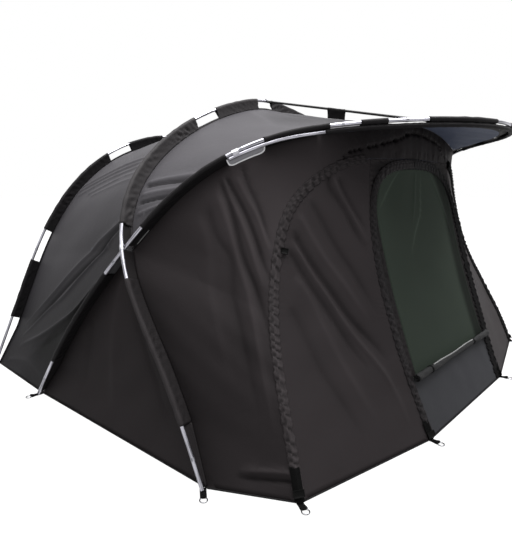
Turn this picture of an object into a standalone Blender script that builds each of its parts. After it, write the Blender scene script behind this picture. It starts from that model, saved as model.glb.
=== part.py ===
"""Two-person fishing bivvy: three arched poles, a brow pole, sewn skin, zipped front and peg tabs.

Metres, +Z up, the ground at z = 0. The entrance looks towards -Y, and the bivvy is symmetric
about the plane x = 0, so most pieces are worked out on the +X side and mirrored.
"""

import math
from types import SimpleNamespace

import bmesh
import bpy
import numpy as np
from mathutils import Matrix, Vector

# Tubes, cloth and the fins that are sewn along the arches
POLE_RADIUS = 0.008
CLOTH = 0.002
CLEARANCE = 0.0003
SLEEVE_BORE = 0.0096
SLEEVE_RADIUS = 0.0110
FIN_HEIGHT = 0.055
FIN_HEIGHT_AT_GROUND = 0.025
FIN_TAPER_LENGTH = 0.25
TAPE_HEIGHT = 0.010
TAPE_HALF_WIDTH = 0.0014
FIN_FOOT_HALF_WIDTH = 0.0008
FIN_DEPTH_IN_SEAM = 0.0018

# How far sheets stop short of a seam under a fin, of the brim's fin and of a seam with no fin
SEAM_INSET = 0.0026
BRIM_INSET = 0.0045
PLAIN_INSET = 0.0016
UNDER_ROOF_INSET = 0.004
MESH_INSET = 0.0006
LARGEST_INSET_SHARE = 0.45

# Points that each pole passes through, from its foot on the +X side to its top on the centre line
REAR_POLE = [(1.420, 1.070, 0.0), (1.240, 1.062, 0.410), (1.085, 1.056, 0.745),
             (0.880, 1.050, 1.045), (0.600, 1.045, 1.275), (0.255, 1.042, 1.407), (0.0, 1.042, 1.436)]
MIDDLE_POLE = [(1.395, -0.815, 0.0), (1.384, -0.570, 0.405), (1.3515, -0.290, 0.840),
               (1.258, -0.202, 1.044), (1.094, -0.113, 1.198), (0.860, -0.030, 1.342),
               (0.572, 0.041, 1.468), (0.272, 0.094, 1.560), (0.0, 0.115, 1.600)]
FRONT_POLE = [(1.436, 0.442, 0.0), (1.428, 0.051, 0.445), (1.3325, -0.290, 0.840),
              (1.219, -0.419, 1.027), (1.068, -0.564, 1.184), (0.912, -0.700, 1.274),
              (0.753, -0.855, 1.321), (0.581, -1.036, 1.343), (0.362, -1.211, 1.355),
              (0.0, -1.307, 1.361)]
CROSSING_KNOT = 2
POLE_SAMPLES = 2401
TANGENT_STEP = 0.002

# Points inside the bivvy that the fins of each arch lean towards, and that sheets face away from
HUB_REAR = (0.0, 1.045, 0.55)
HUB_FRONT = (0.0, -0.10, 0.75)
INSIDE = (0.0, 0.0, 0.50)

# Steps along a pole below and above the crossing, the step where wall and front arch part,
# and how far sheets and tapes reach into the last step before the crossing
LEG_STEPS = 7
TOP_STEPS = 14
WALL_TOP_STEP = 7
PANEL_REACH = 0.93
TAPE_REACH = 0.75

# Stretches of each pole that a sleeve covers, in metres along the pole from its foot
REAR_SLEEVES = [(0.304, 0.676), (0.885, 1.565), (1.755, 2.054)]
MIDDLE_LEG_SLEEVES = [(0.244, 0.856)]
MIDDLE_TOP_SLEEVES = [(1.100, 1.964), (2.172, 2.592)]
FRONT_LEG_SLEEVES = [(0.325, 0.969)]
FRONT_TOP_SLEEVES = [(1.234, 1.681), (1.846, 2.118), (2.243, 2.352), (2.523, 2.908)]

# Peg tabs: webbing strip with a steel ring at its outer end, and the heading of each in degrees
STRIP_LENGTH = 0.060
STRIP_WIDTH = 0.025
STRIP_UNDER_HEM = 0.025
TAB_THICKNESS = 0.002
RING_RADIUS = 0.014
RING_WIRE = 0.003
RING_IN_STRIP = 0.004
TAB_HEADINGS = {"rear_foot": 35.0, "front_pole_foot": 0.0, "middle_foot": -50.0,
                "front_corner": -60.0, "door_corner": -80.0, "rear_hem": 80.0}
REAR_HEM_TAB_STEP = 12
HEM_HEIGHT = TAB_THICKNESS + 0.0012

# Seams of the front wall: the zip arch of the side panels, the door edge and the door top
ZIP_ARCH = [(1.207, -1.110, HEM_HEIGHT), (1.165, -1.020, 0.220), (1.075, -0.876, 0.520),
            (0.955, -0.785, 0.820), (0.862, -0.775, 0.995), (0.730, -0.800, 1.108),
            (0.600, -0.838, 1.172), (0.430, -0.885, 1.205)]
DOOR_TOP_HEIGHT = 1.215
DOOR_EDGE = [(0.478, HEM_HEIGHT), (0.514, 0.450), (0.514, 0.650), (0.496, 0.900), (0.466, 1.060),
             (0.430, 1.205)]
DOOR_SILL_Y = -1.265
DOOR_HEAD_Y = -0.885
DOOR_LEAN_POWER = 1.4
WALL_TOP_Y = -0.880
ARCH_STEPS = 17
HEAD_STEPS = 4
ARCH_END_SHARE = 0.6

# Mosquito mesh window of the door
WINDOW_HALF_WIDTH = 0.430
WINDOW_SILL = 0.250
WINDOW_HEAD = 1.165
WINDOW_CORNER_WIDTH = 0.220
WINDOW_CORNER_HEIGHT = 0.260
FRAME_STEPS = 16

# Ground line of the rear wall
REAR_HEM = [(1.395, 1.085, HEM_HEIGHT), (1.050, 1.182, HEM_HEIGHT), (0.600, 1.249, HEM_HEIGHT),
            (0.0, 1.276, HEM_HEIGHT)]
REAR_HEM_TUCK = 0.02
REAR_FAN_POWER = 1.5

# Zip bands and the flap rolled up below the window
BAND_HALF_WIDTH = 0.022
BAND_THICKNESS = 0.0025
BAND_LIFT = 0.0009
BAND_GUIDE = 0.05
ROLL_RADIUS = 0.019
ROLL_DROP = 0.020
ROLL_HALF_LENGTH = 0.44
ROLL_POINTS = 5

# Brow pole under the front arch, its sleeve and the clips at its ends
BROW_START = 1.650
BROW_SLEEVE_START = 2.100
BROW_DROP = 0.0224
BROW_SLEEVE_WALL = 0.0012
BROW_CLIP_WALL = 0.0041
BROW_CLIP_LENGTH = 0.026
BROW_CLIP_SHARE = 0.25

# Clamps where the legs cross
COLLAR_BORE = 0.0084
COLLAR_SIDES = 12
CLIP_WALL = 0.0016
CLIP_LENGTH = 0.024

# Ridge bar, its hook over the middle pole and the cloth tab between bar and roof
BAR_RADIUS = 0.005
BAR_REAR = (0.0, 0.0975, 1.5967)
BAR_FRONT = (0.0, -1.225, 1.3475)
HOOK_RADIUS = 0.0035
HOOK_BEND = 0.0122
HOOK_SHANK = 0.0030
HOOK_ANGLES = range(15, 161, 24)
ROOF_SAG = 0.0165
ROOF_DROOP = (0.0, 0.0, -0.010)
TAB_ALONG_BAR = (-0.355, -0.470)
TAB_CLOTH = 0.003

# Merge distances of modelling operations
MERGE = 0.00002
MIRROR_MERGE = 0.0001


def clear_scene():
    for old in list(bpy.data.objects):
        bpy.data.objects.remove(old, do_unlink=True)


def new_collection(name):
    collection = bpy.data.collections.new(name)
    bpy.context.scene.collection.children.link(collection)
    return collection


def finish_material(name, colour, roughness, metallic=0.0):
    material = bpy.data.materials.new(name)
    material.use_nodes = True
    shader = material.node_tree.nodes["Principled BSDF"]
    shader.inputs["Base Color"].default_value = (*colour, 1.0)
    shader.inputs["Roughness"].default_value = roughness
    shader.inputs["Metallic"].default_value = metallic
    return material


def make_finishes():
    return SimpleNamespace(
        aluminium=finish_material("pole aluminium", (0.62, 0.62, 0.65), 0.28, 1.0),
        sleeve_cloth=finish_material("sleeve cloth", (0.017, 0.016, 0.017), 0.85),
        roof_cloth=finish_material("roof cloth", (0.075, 0.070, 0.075), 0.62),
        wall_cloth=finish_material("wall cloth", (0.034, 0.030, 0.031), 0.75),
        zip_cloth=finish_material("zip band cloth", (0.026, 0.023, 0.024), 0.80),
        door_cloth=finish_material("door cloth", (0.050, 0.052, 0.056), 0.70),
        mosquito_mesh=finish_material("mosquito mesh", (0.030, 0.037, 0.031), 0.80),
        black_metal=finish_material("black bar", (0.02, 0.02, 0.02), 0.40, 1.0),
        black_plastic=finish_material("black plastic clip", (0.03, 0.03, 0.03), 0.50),
        webbing=finish_material("webbing and steel ring", (0.03, 0.03, 0.03), 0.60))


def unit(vector):
    return vector / np.linalg.norm(vector)


def unit_rows(vectors):
    return vectors / np.linalg.norm(vectors, axis=1)[:, None]


def blend_point(a, b, share):
    return np.asarray(a) * (1.0 - share) + np.asarray(b) * share


def arc_length(points):
    return np.concatenate([[0.0], np.cumsum(np.linalg.norm(np.diff(points, axis=0), axis=1))])


def at_length(curve, length, where):
    return np.stack([np.interp(where, length, curve[:, axis]) for axis in range(3)], axis=1)


def spline_through(points, samples=900):
    """Dense points of a natural cubic spline through the given points, and the arc length at each."""
    knots = np.asarray(points, float)
    chord = arc_length(knots)
    step = np.diff(chord)
    system = np.eye(len(knots))
    load = np.zeros_like(knots)
    for i in range(1, len(knots) - 1):
        system[i, i - 1:i + 2] = step[i - 1], 2.0 * (step[i - 1] + step[i]), step[i]
        load[i] = 6.0 * ((knots[i + 1] - knots[i]) / step[i] - (knots[i] - knots[i - 1]) / step[i - 1])
    bend = np.linalg.solve(system, load)
    where = np.linspace(0.0, chord[-1], samples)
    span = np.clip(np.searchsorted(chord, where, side="right") - 1, 0, len(step) - 1)
    h = step[span][:, None]
    a = (chord[span + 1] - where)[:, None]
    b = (where - chord[span])[:, None]
    curve = (bend[span] * a ** 3 + bend[span + 1] * b ** 3) / (6.0 * h)
    curve += (knots[span] / h - bend[span] * h / 6.0) * a
    curve += (knots[span + 1] / h - bend[span + 1] * h / 6.0) * b
    return curve, arc_length(curve)


def even_route(points, steps):
    curve, length = spline_through(points)
    return at_length(curve, length, np.linspace(0.0, length[-1], steps + 1))


def mirrored(points):
    """A half route from the +X side to the centre line, continued to the -X side."""
    half = [tuple(point) for point in points]
    return half + [(-x, y, z) for x, y, z in reversed(half[:-1])]


class Pole:
    """One arched pole: its stations from foot to top on the +X side, and the seam under its fin."""

    def __init__(self, knots, hub, sleeves, crossing=None):
        curve, length = spline_through(mirrored(knots), POLE_SAMPLES)
        stations = self.even_stations(curve, length, knots, crossing)
        for end in [end for sleeve in sleeves for end in sleeve]:
            nearest = 1 + int(np.argmin(np.abs(stations[1:-1] - end)))
            stations[nearest] = end
        self.stations = stations
        self.points = at_length(curve, length, stations)
        self.points[-1, 0] = 0.0
        ahead = at_length(curve, length, stations + TANGENT_STEP)
        behind = at_length(curve, length, np.maximum(stations - TANGENT_STEP, 0.0))
        self.tangent = unit_rows(ahead - behind)
        self.stand_on_tab()
        to_hub = np.asarray(hub) - self.points
        to_hub -= (to_hub * self.tangent).sum(axis=1)[:, None] * self.tangent
        self.inward = unit_rows(to_hub)
        self.side = np.cross(self.tangent, self.inward)
        rise = np.clip(stations / FIN_TAPER_LENGTH, 0.0, 1.0)
        fin = FIN_HEIGHT_AT_GROUND + (FIN_HEIGHT - FIN_HEIGHT_AT_GROUND) * rise
        self.seam = self.points + self.inward * fin[:, None]
        self.seam[-1, 0] = 0.0

    @staticmethod
    def even_stations(curve, length, knots, crossing):
        top = length[-1] / 2.0
        if crossing is None:
            return np.linspace(0.0, top, LEG_STEPS + TOP_STEPS + 1)
        gap = np.linalg.norm(curve - np.asarray(knots[crossing]), axis=1)
        meet = length[int(np.argmin(gap[:len(curve) // 2]))]
        leg = np.linspace(0.0, meet, LEG_STEPS + 1)
        return np.concatenate([leg, np.linspace(meet, top, TOP_STEPS + 1)[1:]])

    def stand_on_tab(self):
        """Raise the foot until the low side of its slanted end clears the peg tab under it."""
        slope = self.tangent[0, 2]
        rim = POLE_RADIUS * math.sqrt(1.0 - slope ** 2)
        lift = TAB_THICKNESS + CLEARANCE + rim - self.points[0, 2]
        self.points[0] += self.tangent[0] * lift / slope


def link_mesh(name, builder, collection, material, mirror):
    """Turn a bmesh into an object, with its other half mirrored over x = 0 where asked."""
    mesh = bpy.data.meshes.new(name)
    builder.to_mesh(mesh)
    builder.free()
    mesh.materials.append(material)
    thing = bpy.data.objects.new(name, mesh)
    collection.objects.link(thing)
    if mirror:
        fold = thing.modifiers.new("both halves", "MIRROR")
        fold.use_axis = (True, False, False)
        fold.use_clip = True
        fold.merge_threshold = MIRROR_MERGE
    return thing


def grid_object(name, rows, collection, material, thickness=CLOTH, mirror=False, outward=False, sheet=True):
    """A sheet through rows of points, given a thickness on its inner side, or outward."""
    builder = bmesh.new()
    grid = [[builder.verts.new(point) for point in row] for row in rows]
    for lower, upper in zip(grid[:-1], grid[1:]):
        for j in range(len(lower) - 1):
            builder.faces.new((lower[j], lower[j + 1], upper[j + 1], upper[j]))
    bmesh.ops.remove_doubles(builder, verts=builder.verts, dist=MERGE)
    builder.normal_update()
    facing = 0.0
    for part in builder.faces:
        facing += part.normal.dot(part.calc_center_median() - Vector(INSIDE)) * part.calc_area()
    if sheet and facing < 0.0:
        bmesh.ops.reverse_faces(builder, faces=builder.faces)
    cloth = link_mesh(name, builder, collection, material, mirror)
    shell = cloth.modifiers.new("cloth thickness", "SOLIDIFY")
    shell.thickness = thickness
    shell.offset = 1.0 if outward else -1.0
    shell.use_even_offset = True
    cloth.data.shade_smooth()
    return cloth


def flip_rows(rows):
    """The same rows on the -X side."""
    return [[(-p[0], p[1], p[2]) for p in row] for row in rows]


def panel_rows(edge_a, edge_b, columns, inset_a=SEAM_INSET, inset_b=SEAM_INSET, droop=(0.0, 0.0, 0.0)):
    """Rows between two seams, set back from both, with a slight droop in the middle."""
    rows = []
    for a, b in zip(np.asarray(edge_a, float), np.asarray(edge_b, float)):
        span = np.linalg.norm(b - a)
        run = (b - a) / span
        start = a + run * min(inset_a, LARGEST_INSET_SHARE * span)
        end = b - run * min(inset_b, LARGEST_INSET_SHARE * span)
        row = []
        for t in np.linspace(0.0, 1.0, columns + 1):
            row.append(blend_point(start, end, t) + np.asarray(droop) * 4.0 * t * (1.0 - t) * span)
        rows.append(row)
    return rows


def hem(points):
    """A seam whose first point is set to the height of the hem."""
    lifted = np.array(points, float)
    lifted[0, 2] = HEM_HEIGHT
    return lifted


def fin_sections(pole, indices):
    """Cross-sections of a fin. An index may hold a fraction, which lies between two stations."""
    def station(index, values):
        low = int(math.floor(index))
        return blend_point(values[low], values[min(low + 1, len(values) - 1)], index - low)

    sections = []
    for index in indices:
        centre = station(index, pole.points)
        reach = station(index, pole.seam) - centre
        height = np.linalg.norm(reach)
        inward = reach / height
        across = station(index, pole.side)
        ways = [math.radians(angle) for angle in range(30, 360, 60)]
        outer = [centre + SLEEVE_RADIUS * (inward * math.cos(w) + across * math.sin(w)) for w in ways]
        bore = [centre + SLEEVE_BORE * (inward * math.cos(w) + across * math.sin(w)) for w in ways]
        top = centre + inward * (height - TAPE_HEIGHT)
        foot = centre + inward * (height + FIN_DEPTH_IN_SEAM)
        tape = [top + across * TAPE_HALF_WIDTH, foot + across * FIN_FOOT_HALF_WIDTH,
                foot - across * FIN_FOOT_HALF_WIDTH, top - across * TAPE_HALF_WIDTH]
        sections.append(SimpleNamespace(outer=outer, bore=bore, tape=tape,
                                        length=float(station(index, pole.stations))))
    return sections


def fin_object(name, pole, indices, sleeves, collection, material, side=0):
    """A sewn fin along a pole: hexagonal sleeve, tapering web and a tape that runs on past cut-outs.

    A side of 1 or -1 makes one leg's fin, and 0 makes a whole arch by mirroring it over x = 0.
    """
    builder = bmesh.new()
    sections = fin_sections(pole, indices)
    made = {}

    def vertex(point):
        mark = tuple(round(float(c), 7) for c in point)
        if mark not in made:
            made[mark] = builder.verts.new(point)
        return made[mark]

    def face(*points):
        builder.faces.new([vertex(point) for point in points])

    def sleeve_end(section):
        for j in range(5):
            face(section.outer[j], section.outer[j + 1], section.bore[j + 1], section.bore[j])
        face(section.outer[5], section.outer[0], section.bore[0], section.bore[5])
        face(section.outer[0], section.outer[5], section.tape[3], section.tape[0])

    covered = []
    for low, high in zip(sections[:-1], sections[1:]):
        middle = (low.length + high.length) / 2.0
        covered.append(any(start < middle < end for start, end in sleeves))
    for i, (here, there) in enumerate(zip(sections[:-1], sections[1:])):
        for j in range(3):
            face(here.tape[j], here.tape[j + 1], there.tape[j + 1], there.tape[j])
        if not covered[i]:
            face(here.tape[3], here.tape[0], there.tape[0], there.tape[3])
            continue
        for j in range(5):
            face(here.outer[j + 1], here.outer[j], there.outer[j], there.outer[j + 1])
        for j in range(6):
            k = (j + 1) % 6
            face(here.bore[j], here.bore[k], there.bore[k], there.bore[j])
        face(here.outer[0], here.tape[0], there.tape[0], there.outer[0])
        face(here.tape[3], here.outer[5], there.outer[5], there.tape[3])
        if i == 0 or not covered[i - 1]:
            sleeve_end(here)
        if i + 1 == len(covered) or not covered[i + 1]:
            sleeve_end(there)
    face(*sections[0].tape)
    if side:
        face(*sections[-1].tape)
    bmesh.ops.recalc_face_normals(builder, faces=builder.faces)
    if side < 0:
        bmesh.ops.transform(builder, matrix=Matrix.Scale(-1.0, 4, (1.0, 0.0, 0.0)), verts=builder.verts)
        bmesh.ops.reverse_faces(builder, faces=builder.faces)
    return link_mesh(name, builder, collection, material, mirror=side == 0)


def tube_object(name, points, radius, collection, material, resolution=2):
    """A straight-sided tube along a chain of points, as a bevelled curve with filled ends."""
    curve = bpy.data.curves.new(name, "CURVE")
    curve.dimensions = "3D"
    curve.bevel_depth = radius
    curve.bevel_resolution = resolution
    curve.use_fill_caps = True
    line = curve.splines.new("POLY")
    line.points.add(len(points) - 1)
    for slot, point in zip(line.points, points):
        slot.co = (*[float(c) for c in point], 1.0)
    tube = bpy.data.objects.new(name, curve)
    collection.objects.link(tube)
    curve.materials.append(material)
    return tube


def ring_rows(centres, tangents, inwards, radius, sides):
    """Closed rings of points around a route, for a tube that is open at both ends."""
    rows = []
    for centre, tangent, inward in zip(centres, tangents, inwards):
        across = np.cross(tangent, inward)
        row = []
        for k in range(sides + 1):
            turn = math.radians(360.0 * k / sides + 180.0 / sides)
            row.append(centre + inward * radius * math.cos(turn) + across * radius * math.sin(turn))
        rows.append(row)
    return rows


def collar(name, route, inward, wall, collection, material):
    """A short ring clamped round a pole, following the pole's own bend."""
    runs = unit_rows(np.diff(route, axis=0))
    tangents = unit_rows(np.vstack([runs[:1], runs[:-1] + runs[1:], runs[-1:]]))
    inwards = unit_rows(inward - (tangents @ inward)[:, None] * tangents)
    rows = ring_rows(route, tangents, inwards, COLLAR_BORE, COLLAR_SIDES)
    return grid_object(name, rows, collection, material, wall, outward=True, sheet=False)


def door_lean(z):
    """How far forward the door cloth stands at a height: it leans back and flattens at its head."""
    share = max(1.0 - z / DOOR_TOP_HEIGHT, 0.0)
    return DOOR_HEAD_Y + (DOOR_SILL_Y - DOOR_HEAD_Y) * share ** DOOR_LEAN_POWER


def door_point(x, z):
    return np.array((x, door_lean(z), z))


def junction_line(middle, front):
    """Where wall and roof meet, from the front arch back under the brim to the centre line."""
    start = front.seam[LEG_STEPS + WALL_TOP_STEP][1]
    line = []
    for i in range(WALL_TOP_STEP, TOP_STEPS + 1):
        share = (i - WALL_TOP_STEP) / (TOP_STEPS - WALL_TOP_STEP)
        tip = front.seam[LEG_STEPS + i]
        back = middle.seam[LEG_STEPS + i]
        aim = start + (WALL_TOP_Y - start) * math.sin(math.radians(90.0 * share))
        slide = (aim - tip[1]) / (back[1] - tip[1])
        point = blend_point(tip, back, slide)
        point[2] -= ROOF_SAG * 4.0 * slide * (1.0 - slide)
        line.append(point)
    return line


def lay_out():
    """The poles and every seam that two or more pieces share, on the +X side."""
    rear = Pole(REAR_POLE, HUB_REAR, REAR_SLEEVES)
    middle = Pole(MIDDLE_POLE, HUB_FRONT, MIDDLE_LEG_SLEEVES + MIDDLE_TOP_SLEEVES, CROSSING_KNOT)
    front = Pole(FRONT_POLE, HUB_FRONT, FRONT_LEG_SLEEVES + FRONT_TOP_SLEEVES, CROSSING_KNOT)
    meeting = (middle.seam[LEG_STEPS] + front.seam[LEG_STEPS]) / 2.0
    middle.seam[LEG_STEPS] = meeting
    front.seam[LEG_STEPS] = meeting
    junction = junction_line(middle, front)

    arch = list(even_route(ZIP_ARCH, ARCH_STEPS))
    corner = arch[-1]
    for k in range(1, HEAD_STEPS + 1):
        share = k / HEAD_STEPS
        height = corner[2] + (DOOR_TOP_HEIGHT - corner[2]) * share
        arch.append(door_point(corner[0] * (1.0 - share), height))
    above_crossing = list(front.seam[LEG_STEPS:LEG_STEPS + WALL_TOP_STEP])
    wall_top = hem(list(middle.seam[:LEG_STEPS]) + above_crossing + junction)

    edge_curve, edge_length = spline_through([door_point(x, z) for x, z in DOOR_EDGE])
    even = at_length(edge_curve, edge_length, np.linspace(0.0, edge_length[-1], ARCH_STEPS + 1))
    edge = np.array([door_point(x, z) for x, y, z in even])
    edge[-1] = corner
    return SimpleNamespace(rear=rear, middle=middle, front=front, meeting=meeting, junction=junction,
                           arch=np.array(arch), wall_top=wall_top, edge=edge, corner=corner)


def build_poles(lines, bivvy, finish):
    """One bent tube for each arch, foot to foot."""
    for name, pole in (("rear_pole", lines.rear), ("middle_pole", lines.middle), ("front_pole", lines.front)):
        tube_object(name, mirrored(pole.points), POLE_RADIUS, bivvy, finish.aluminium)


def build_rear_roof(lines, bivvy, finish):
    """Skin between the rear arch and the line of front leg and middle arch."""
    spine = np.concatenate([lines.front.seam[:LEG_STEPS], lines.middle.seam[LEG_STEPS:]])
    rows = panel_rows(hem(lines.rear.seam), hem(spine), 6)
    grid_object("rear_roof", rows, bivvy, finish.roof_cloth, mirror=True)


def build_side_panels(lines, bivvy, finish):
    """Triangles between the two crossing legs."""
    edges = []
    for pole in (lines.front, lines.middle):
        last = blend_point(pole.seam[LEG_STEPS - 1], lines.meeting, PANEL_REACH)
        edges.append(hem(list(pole.seam[:LEG_STEPS]) + [last]))
    rows = panel_rows(*edges, 5)
    grid_object("side_panel_right", rows, bivvy, finish.wall_cloth)
    grid_object("side_panel_left", flip_rows(rows), bivvy, finish.wall_cloth)


def build_roof_and_brim(lines, bivvy, finish):
    """Roof between the middle and front arches, and the brim that runs on past the wall.

    Returns the height profile of the roof's ridge, which the ridge bar's tab needs.
    """
    above = LEG_STEPS + 1
    roof_front = [blend_point(lines.meeting, lines.front.seam[above], 1.0 - PANEL_REACH)]
    roof_front += list(lines.front.seam[above:LEG_STEPS + WALL_TOP_STEP]) + lines.junction
    roof_back = [blend_point(lines.meeting, lines.middle.seam[above], 1.0 - PANEL_REACH)]
    roof_back += list(lines.middle.seam[above:])
    rows = panel_rows(roof_back, roof_front, 6, inset_b=BRIM_INSET, droop=ROOF_DROOP)
    grid_object("roof", rows, bivvy, finish.roof_cloth, mirror=True)
    brim_front = lines.front.seam[LEG_STEPS + WALL_TOP_STEP + 1:]
    brim_rows = panel_rows(lines.junction[1:], brim_front, 4, inset_b=BRIM_INSET)
    grid_object("brim", brim_rows, bivvy, finish.roof_cloth, mirror=True)
    return np.array(rows[-1])


def build_front_wall(lines, bivvy, finish):
    """Wings beside the legs and a header under the brim, then the two zipped side panels."""
    rows = []
    for i, (top, seam) in enumerate(zip(lines.wall_top, lines.arch)):
        inset = SEAM_INSET if i < LEG_STEPS + WALL_TOP_STEP else UNDER_ROOF_INSET
        rows += panel_rows([top], [seam], 5, inset, PLAIN_INSET)
    grid_object("front_surround", rows, bivvy, finish.wall_cloth, mirror=True)
    sides = []
    for line in (lines.arch, lines.edge):
        last = blend_point(line[ARCH_STEPS - 1], line[ARCH_STEPS], ARCH_END_SHARE)
        sides.append(list(line[:ARCH_STEPS]) + [last])
    panel = panel_rows(*sides, 5, PLAIN_INSET, PLAIN_INSET)
    grid_object("front_panel_right", panel, bivvy, finish.wall_cloth)
    grid_object("front_panel_left", flip_rows(panel), bivvy, finish.wall_cloth)


def window_route(steps):
    """Edge of the mesh window, from its lower corner on the +X side up and over to the centre line."""
    turn_x = WINDOW_HALF_WIDTH - WINDOW_CORNER_WIDTH
    turn_z = WINDOW_HEAD - WINDOW_CORNER_HEIGHT
    upright = turn_z - WINDOW_SILL
    route = [(WINDOW_HALF_WIDTH, 0.0, WINDOW_SILL + upright * t) for t in (0.0, 0.25, 0.5, 0.75)]
    for angle in range(0, 91, 15):
        turn = math.radians(angle)
        route.append((turn_x + WINDOW_CORNER_WIDTH * math.cos(turn), 0.0,
                      turn_z + WINDOW_CORNER_HEIGHT * math.sin(turn)))
    route.append((0.0, 0.0, WINDOW_HEAD))
    line = np.array(route)
    length = arc_length(line)
    even = at_length(line, length, np.linspace(0.0, length[-1], steps + 1))
    return [(x, z) for x, y, z in even]


def build_door(lines, bivvy, finish):
    """Lower panel, frame and mosquito mesh, all on the one leaning surface of the door."""
    def edge_x(z):
        return float(np.interp(z, lines.edge[:, 2], lines.edge[:, 0])) - PLAIN_INSET

    lower = []
    for z in np.linspace(HEM_HEIGHT, WINDOW_SILL - CLEARANCE, 5):
        lower.append([door_point(x, z) for x in np.linspace(edge_x(z), 0.0, 7)])
    grid_object("door_lower_panel", lower, bivvy, finish.door_cloth, mirror=True)

    window = window_route(FRAME_STEPS + HEAD_STEPS)
    sill = WINDOW_SILL + CLEARANCE
    outer = [(edge_x(z), z) for z in np.linspace(sill, lines.corner[2] - PLAIN_INSET, FRAME_STEPS + 1)]
    head_x, head_z = outer[-1]
    for k in range(1, HEAD_STEPS + 1):
        share = k / HEAD_STEPS
        outer.append((head_x * (1.0 - share), head_z + (DOOR_TOP_HEIGHT - lines.corner[2]) * share))
    frame_rows = []
    for (ax, az), (bx, bz) in zip(outer, window):
        frame_rows.append([door_point(ax + (bx - ax) * t, max(az + (bz - az) * t, sill))
                           for t in (0.0, 0.5, 1.0)])
    grid_object("door_frame", frame_rows, bivvy, finish.wall_cloth, mirror=True)

    mesh_rows = []
    for i, (x, z) in enumerate(window):
        height = WINDOW_SILL + (WINDOW_HEAD - MESH_INSET - WINDOW_SILL) * i / (len(window) - 1)
        start = door_point(max(x - MESH_INSET, 0.0), max(z - MESH_INSET, sill))
        row = []
        for t in np.linspace(0.0, 1.0, 5):
            row.append(door_point(start[0] * (1.0 - t), start[2] + (max(height, sill) - start[2]) * t))
        mesh_rows.append(row)
    grid_object("door_mesh", mesh_rows, bivvy, finish.mosquito_mesh, mirror=True)


def build_door_roll(bivvy, finish):
    """The window's storm flap, rolled down and lying on the lower panel along the sill."""
    contact = WINDOW_SILL - ROLL_DROP
    rise = 0.01
    lean = (door_lean(contact + rise) - door_lean(contact - rise)) / (2.0 * rise)
    away = (ROLL_RADIUS + CLEARANCE) / math.hypot(1.0, lean)
    centre = (door_lean(contact) - away, contact + away * lean)
    points = [(x, *centre) for x in np.linspace(-ROLL_HALF_LENGTH, ROLL_HALF_LENGTH, ROLL_POINTS)]
    tube_object("door_roll", points, ROLL_RADIUS, bivvy, finish.door_cloth, resolution=4)


def band_rows(seam, toward_a, toward_b):
    """Three points across a seam at each station: a short way into each panel, and the seam itself."""
    rows = []
    for middle, a, b in zip(seam, toward_a, toward_b):
        rows.append([middle + unit(a - middle) * BAND_HALF_WIDTH, middle,
                     middle + unit(b - middle) * BAND_HALF_WIDTH])
    along = np.gradient(np.array(rows)[:, 1], axis=0)
    lifted = []
    for i, row in enumerate(rows):
        normal_a = unit(np.cross(along[i], row[0] - row[1]))
        normal_b = unit(np.cross(row[2] - row[1], along[i]))
        if normal_a[1] > 0.0:
            normal_a, normal_b = -normal_a, -normal_b
        both = unit(normal_a + normal_b)
        lifts = (normal_a * BAND_LIFT, both * BAND_LIFT, normal_b * BAND_LIFT)
        lifted.append([point + lift for point, lift in zip(row, lifts)])
    return lifted


def build_zip_bands(lines, bivvy, finish):
    """Gathered bands over the zip seams of the front."""
    arch_band = band_rows(lines.arch[:ARCH_STEPS], lines.wall_top[:ARCH_STEPS], lines.edge[:ARCH_STEPS])
    grid_object("zip_band_right", arch_band, bivvy, finish.zip_cloth, BAND_THICKNESS, outward=True)
    grid_object("zip_band_left", flip_rows(arch_band), bivvy, finish.zip_cloth, BAND_THICKNESS, outward=True)
    seam = list(lines.edge[:ARCH_STEPS]) + list(lines.arch[ARCH_STEPS:])
    outside = list(lines.arch[:ARCH_STEPS]) + list(lines.wall_top[ARCH_STEPS:])
    within = [door_point(x - BAND_GUIDE, z) for x, y, z in seam[:ARCH_STEPS]]
    within.append(door_point(lines.corner[0] - BAND_GUIDE, lines.corner[2] - BAND_GUIDE))
    within += [door_point(x, z - BAND_GUIDE) for x, y, z in seam[ARCH_STEPS + 1:]]
    rows = band_rows(seam, outside, within)
    grid_object("door_zip_band", rows, bivvy, finish.zip_cloth, BAND_THICKNESS, mirror=True, outward=True)


def build_rear_wall(lines, bivvy, finish):
    """Rear wall, in rows that fan from the rear arch to the ground line. Returns that line."""
    curve, length = spline_through(REAR_HEM)
    share = np.linspace(0.0, 1.0, LEG_STEPS + TOP_STEPS + 1)
    ground = at_length(curve, length, (1.0 - (1.0 - share) ** REAR_FAN_POWER) * length[-1])
    ground[0, 0] -= REAR_HEM_TUCK
    rows = panel_rows(ground, hem(lines.rear.seam), 5, inset_a=0.0)
    grid_object("rear_wall", rows, bivvy, finish.wall_cloth, mirror=True)
    return ground


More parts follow.
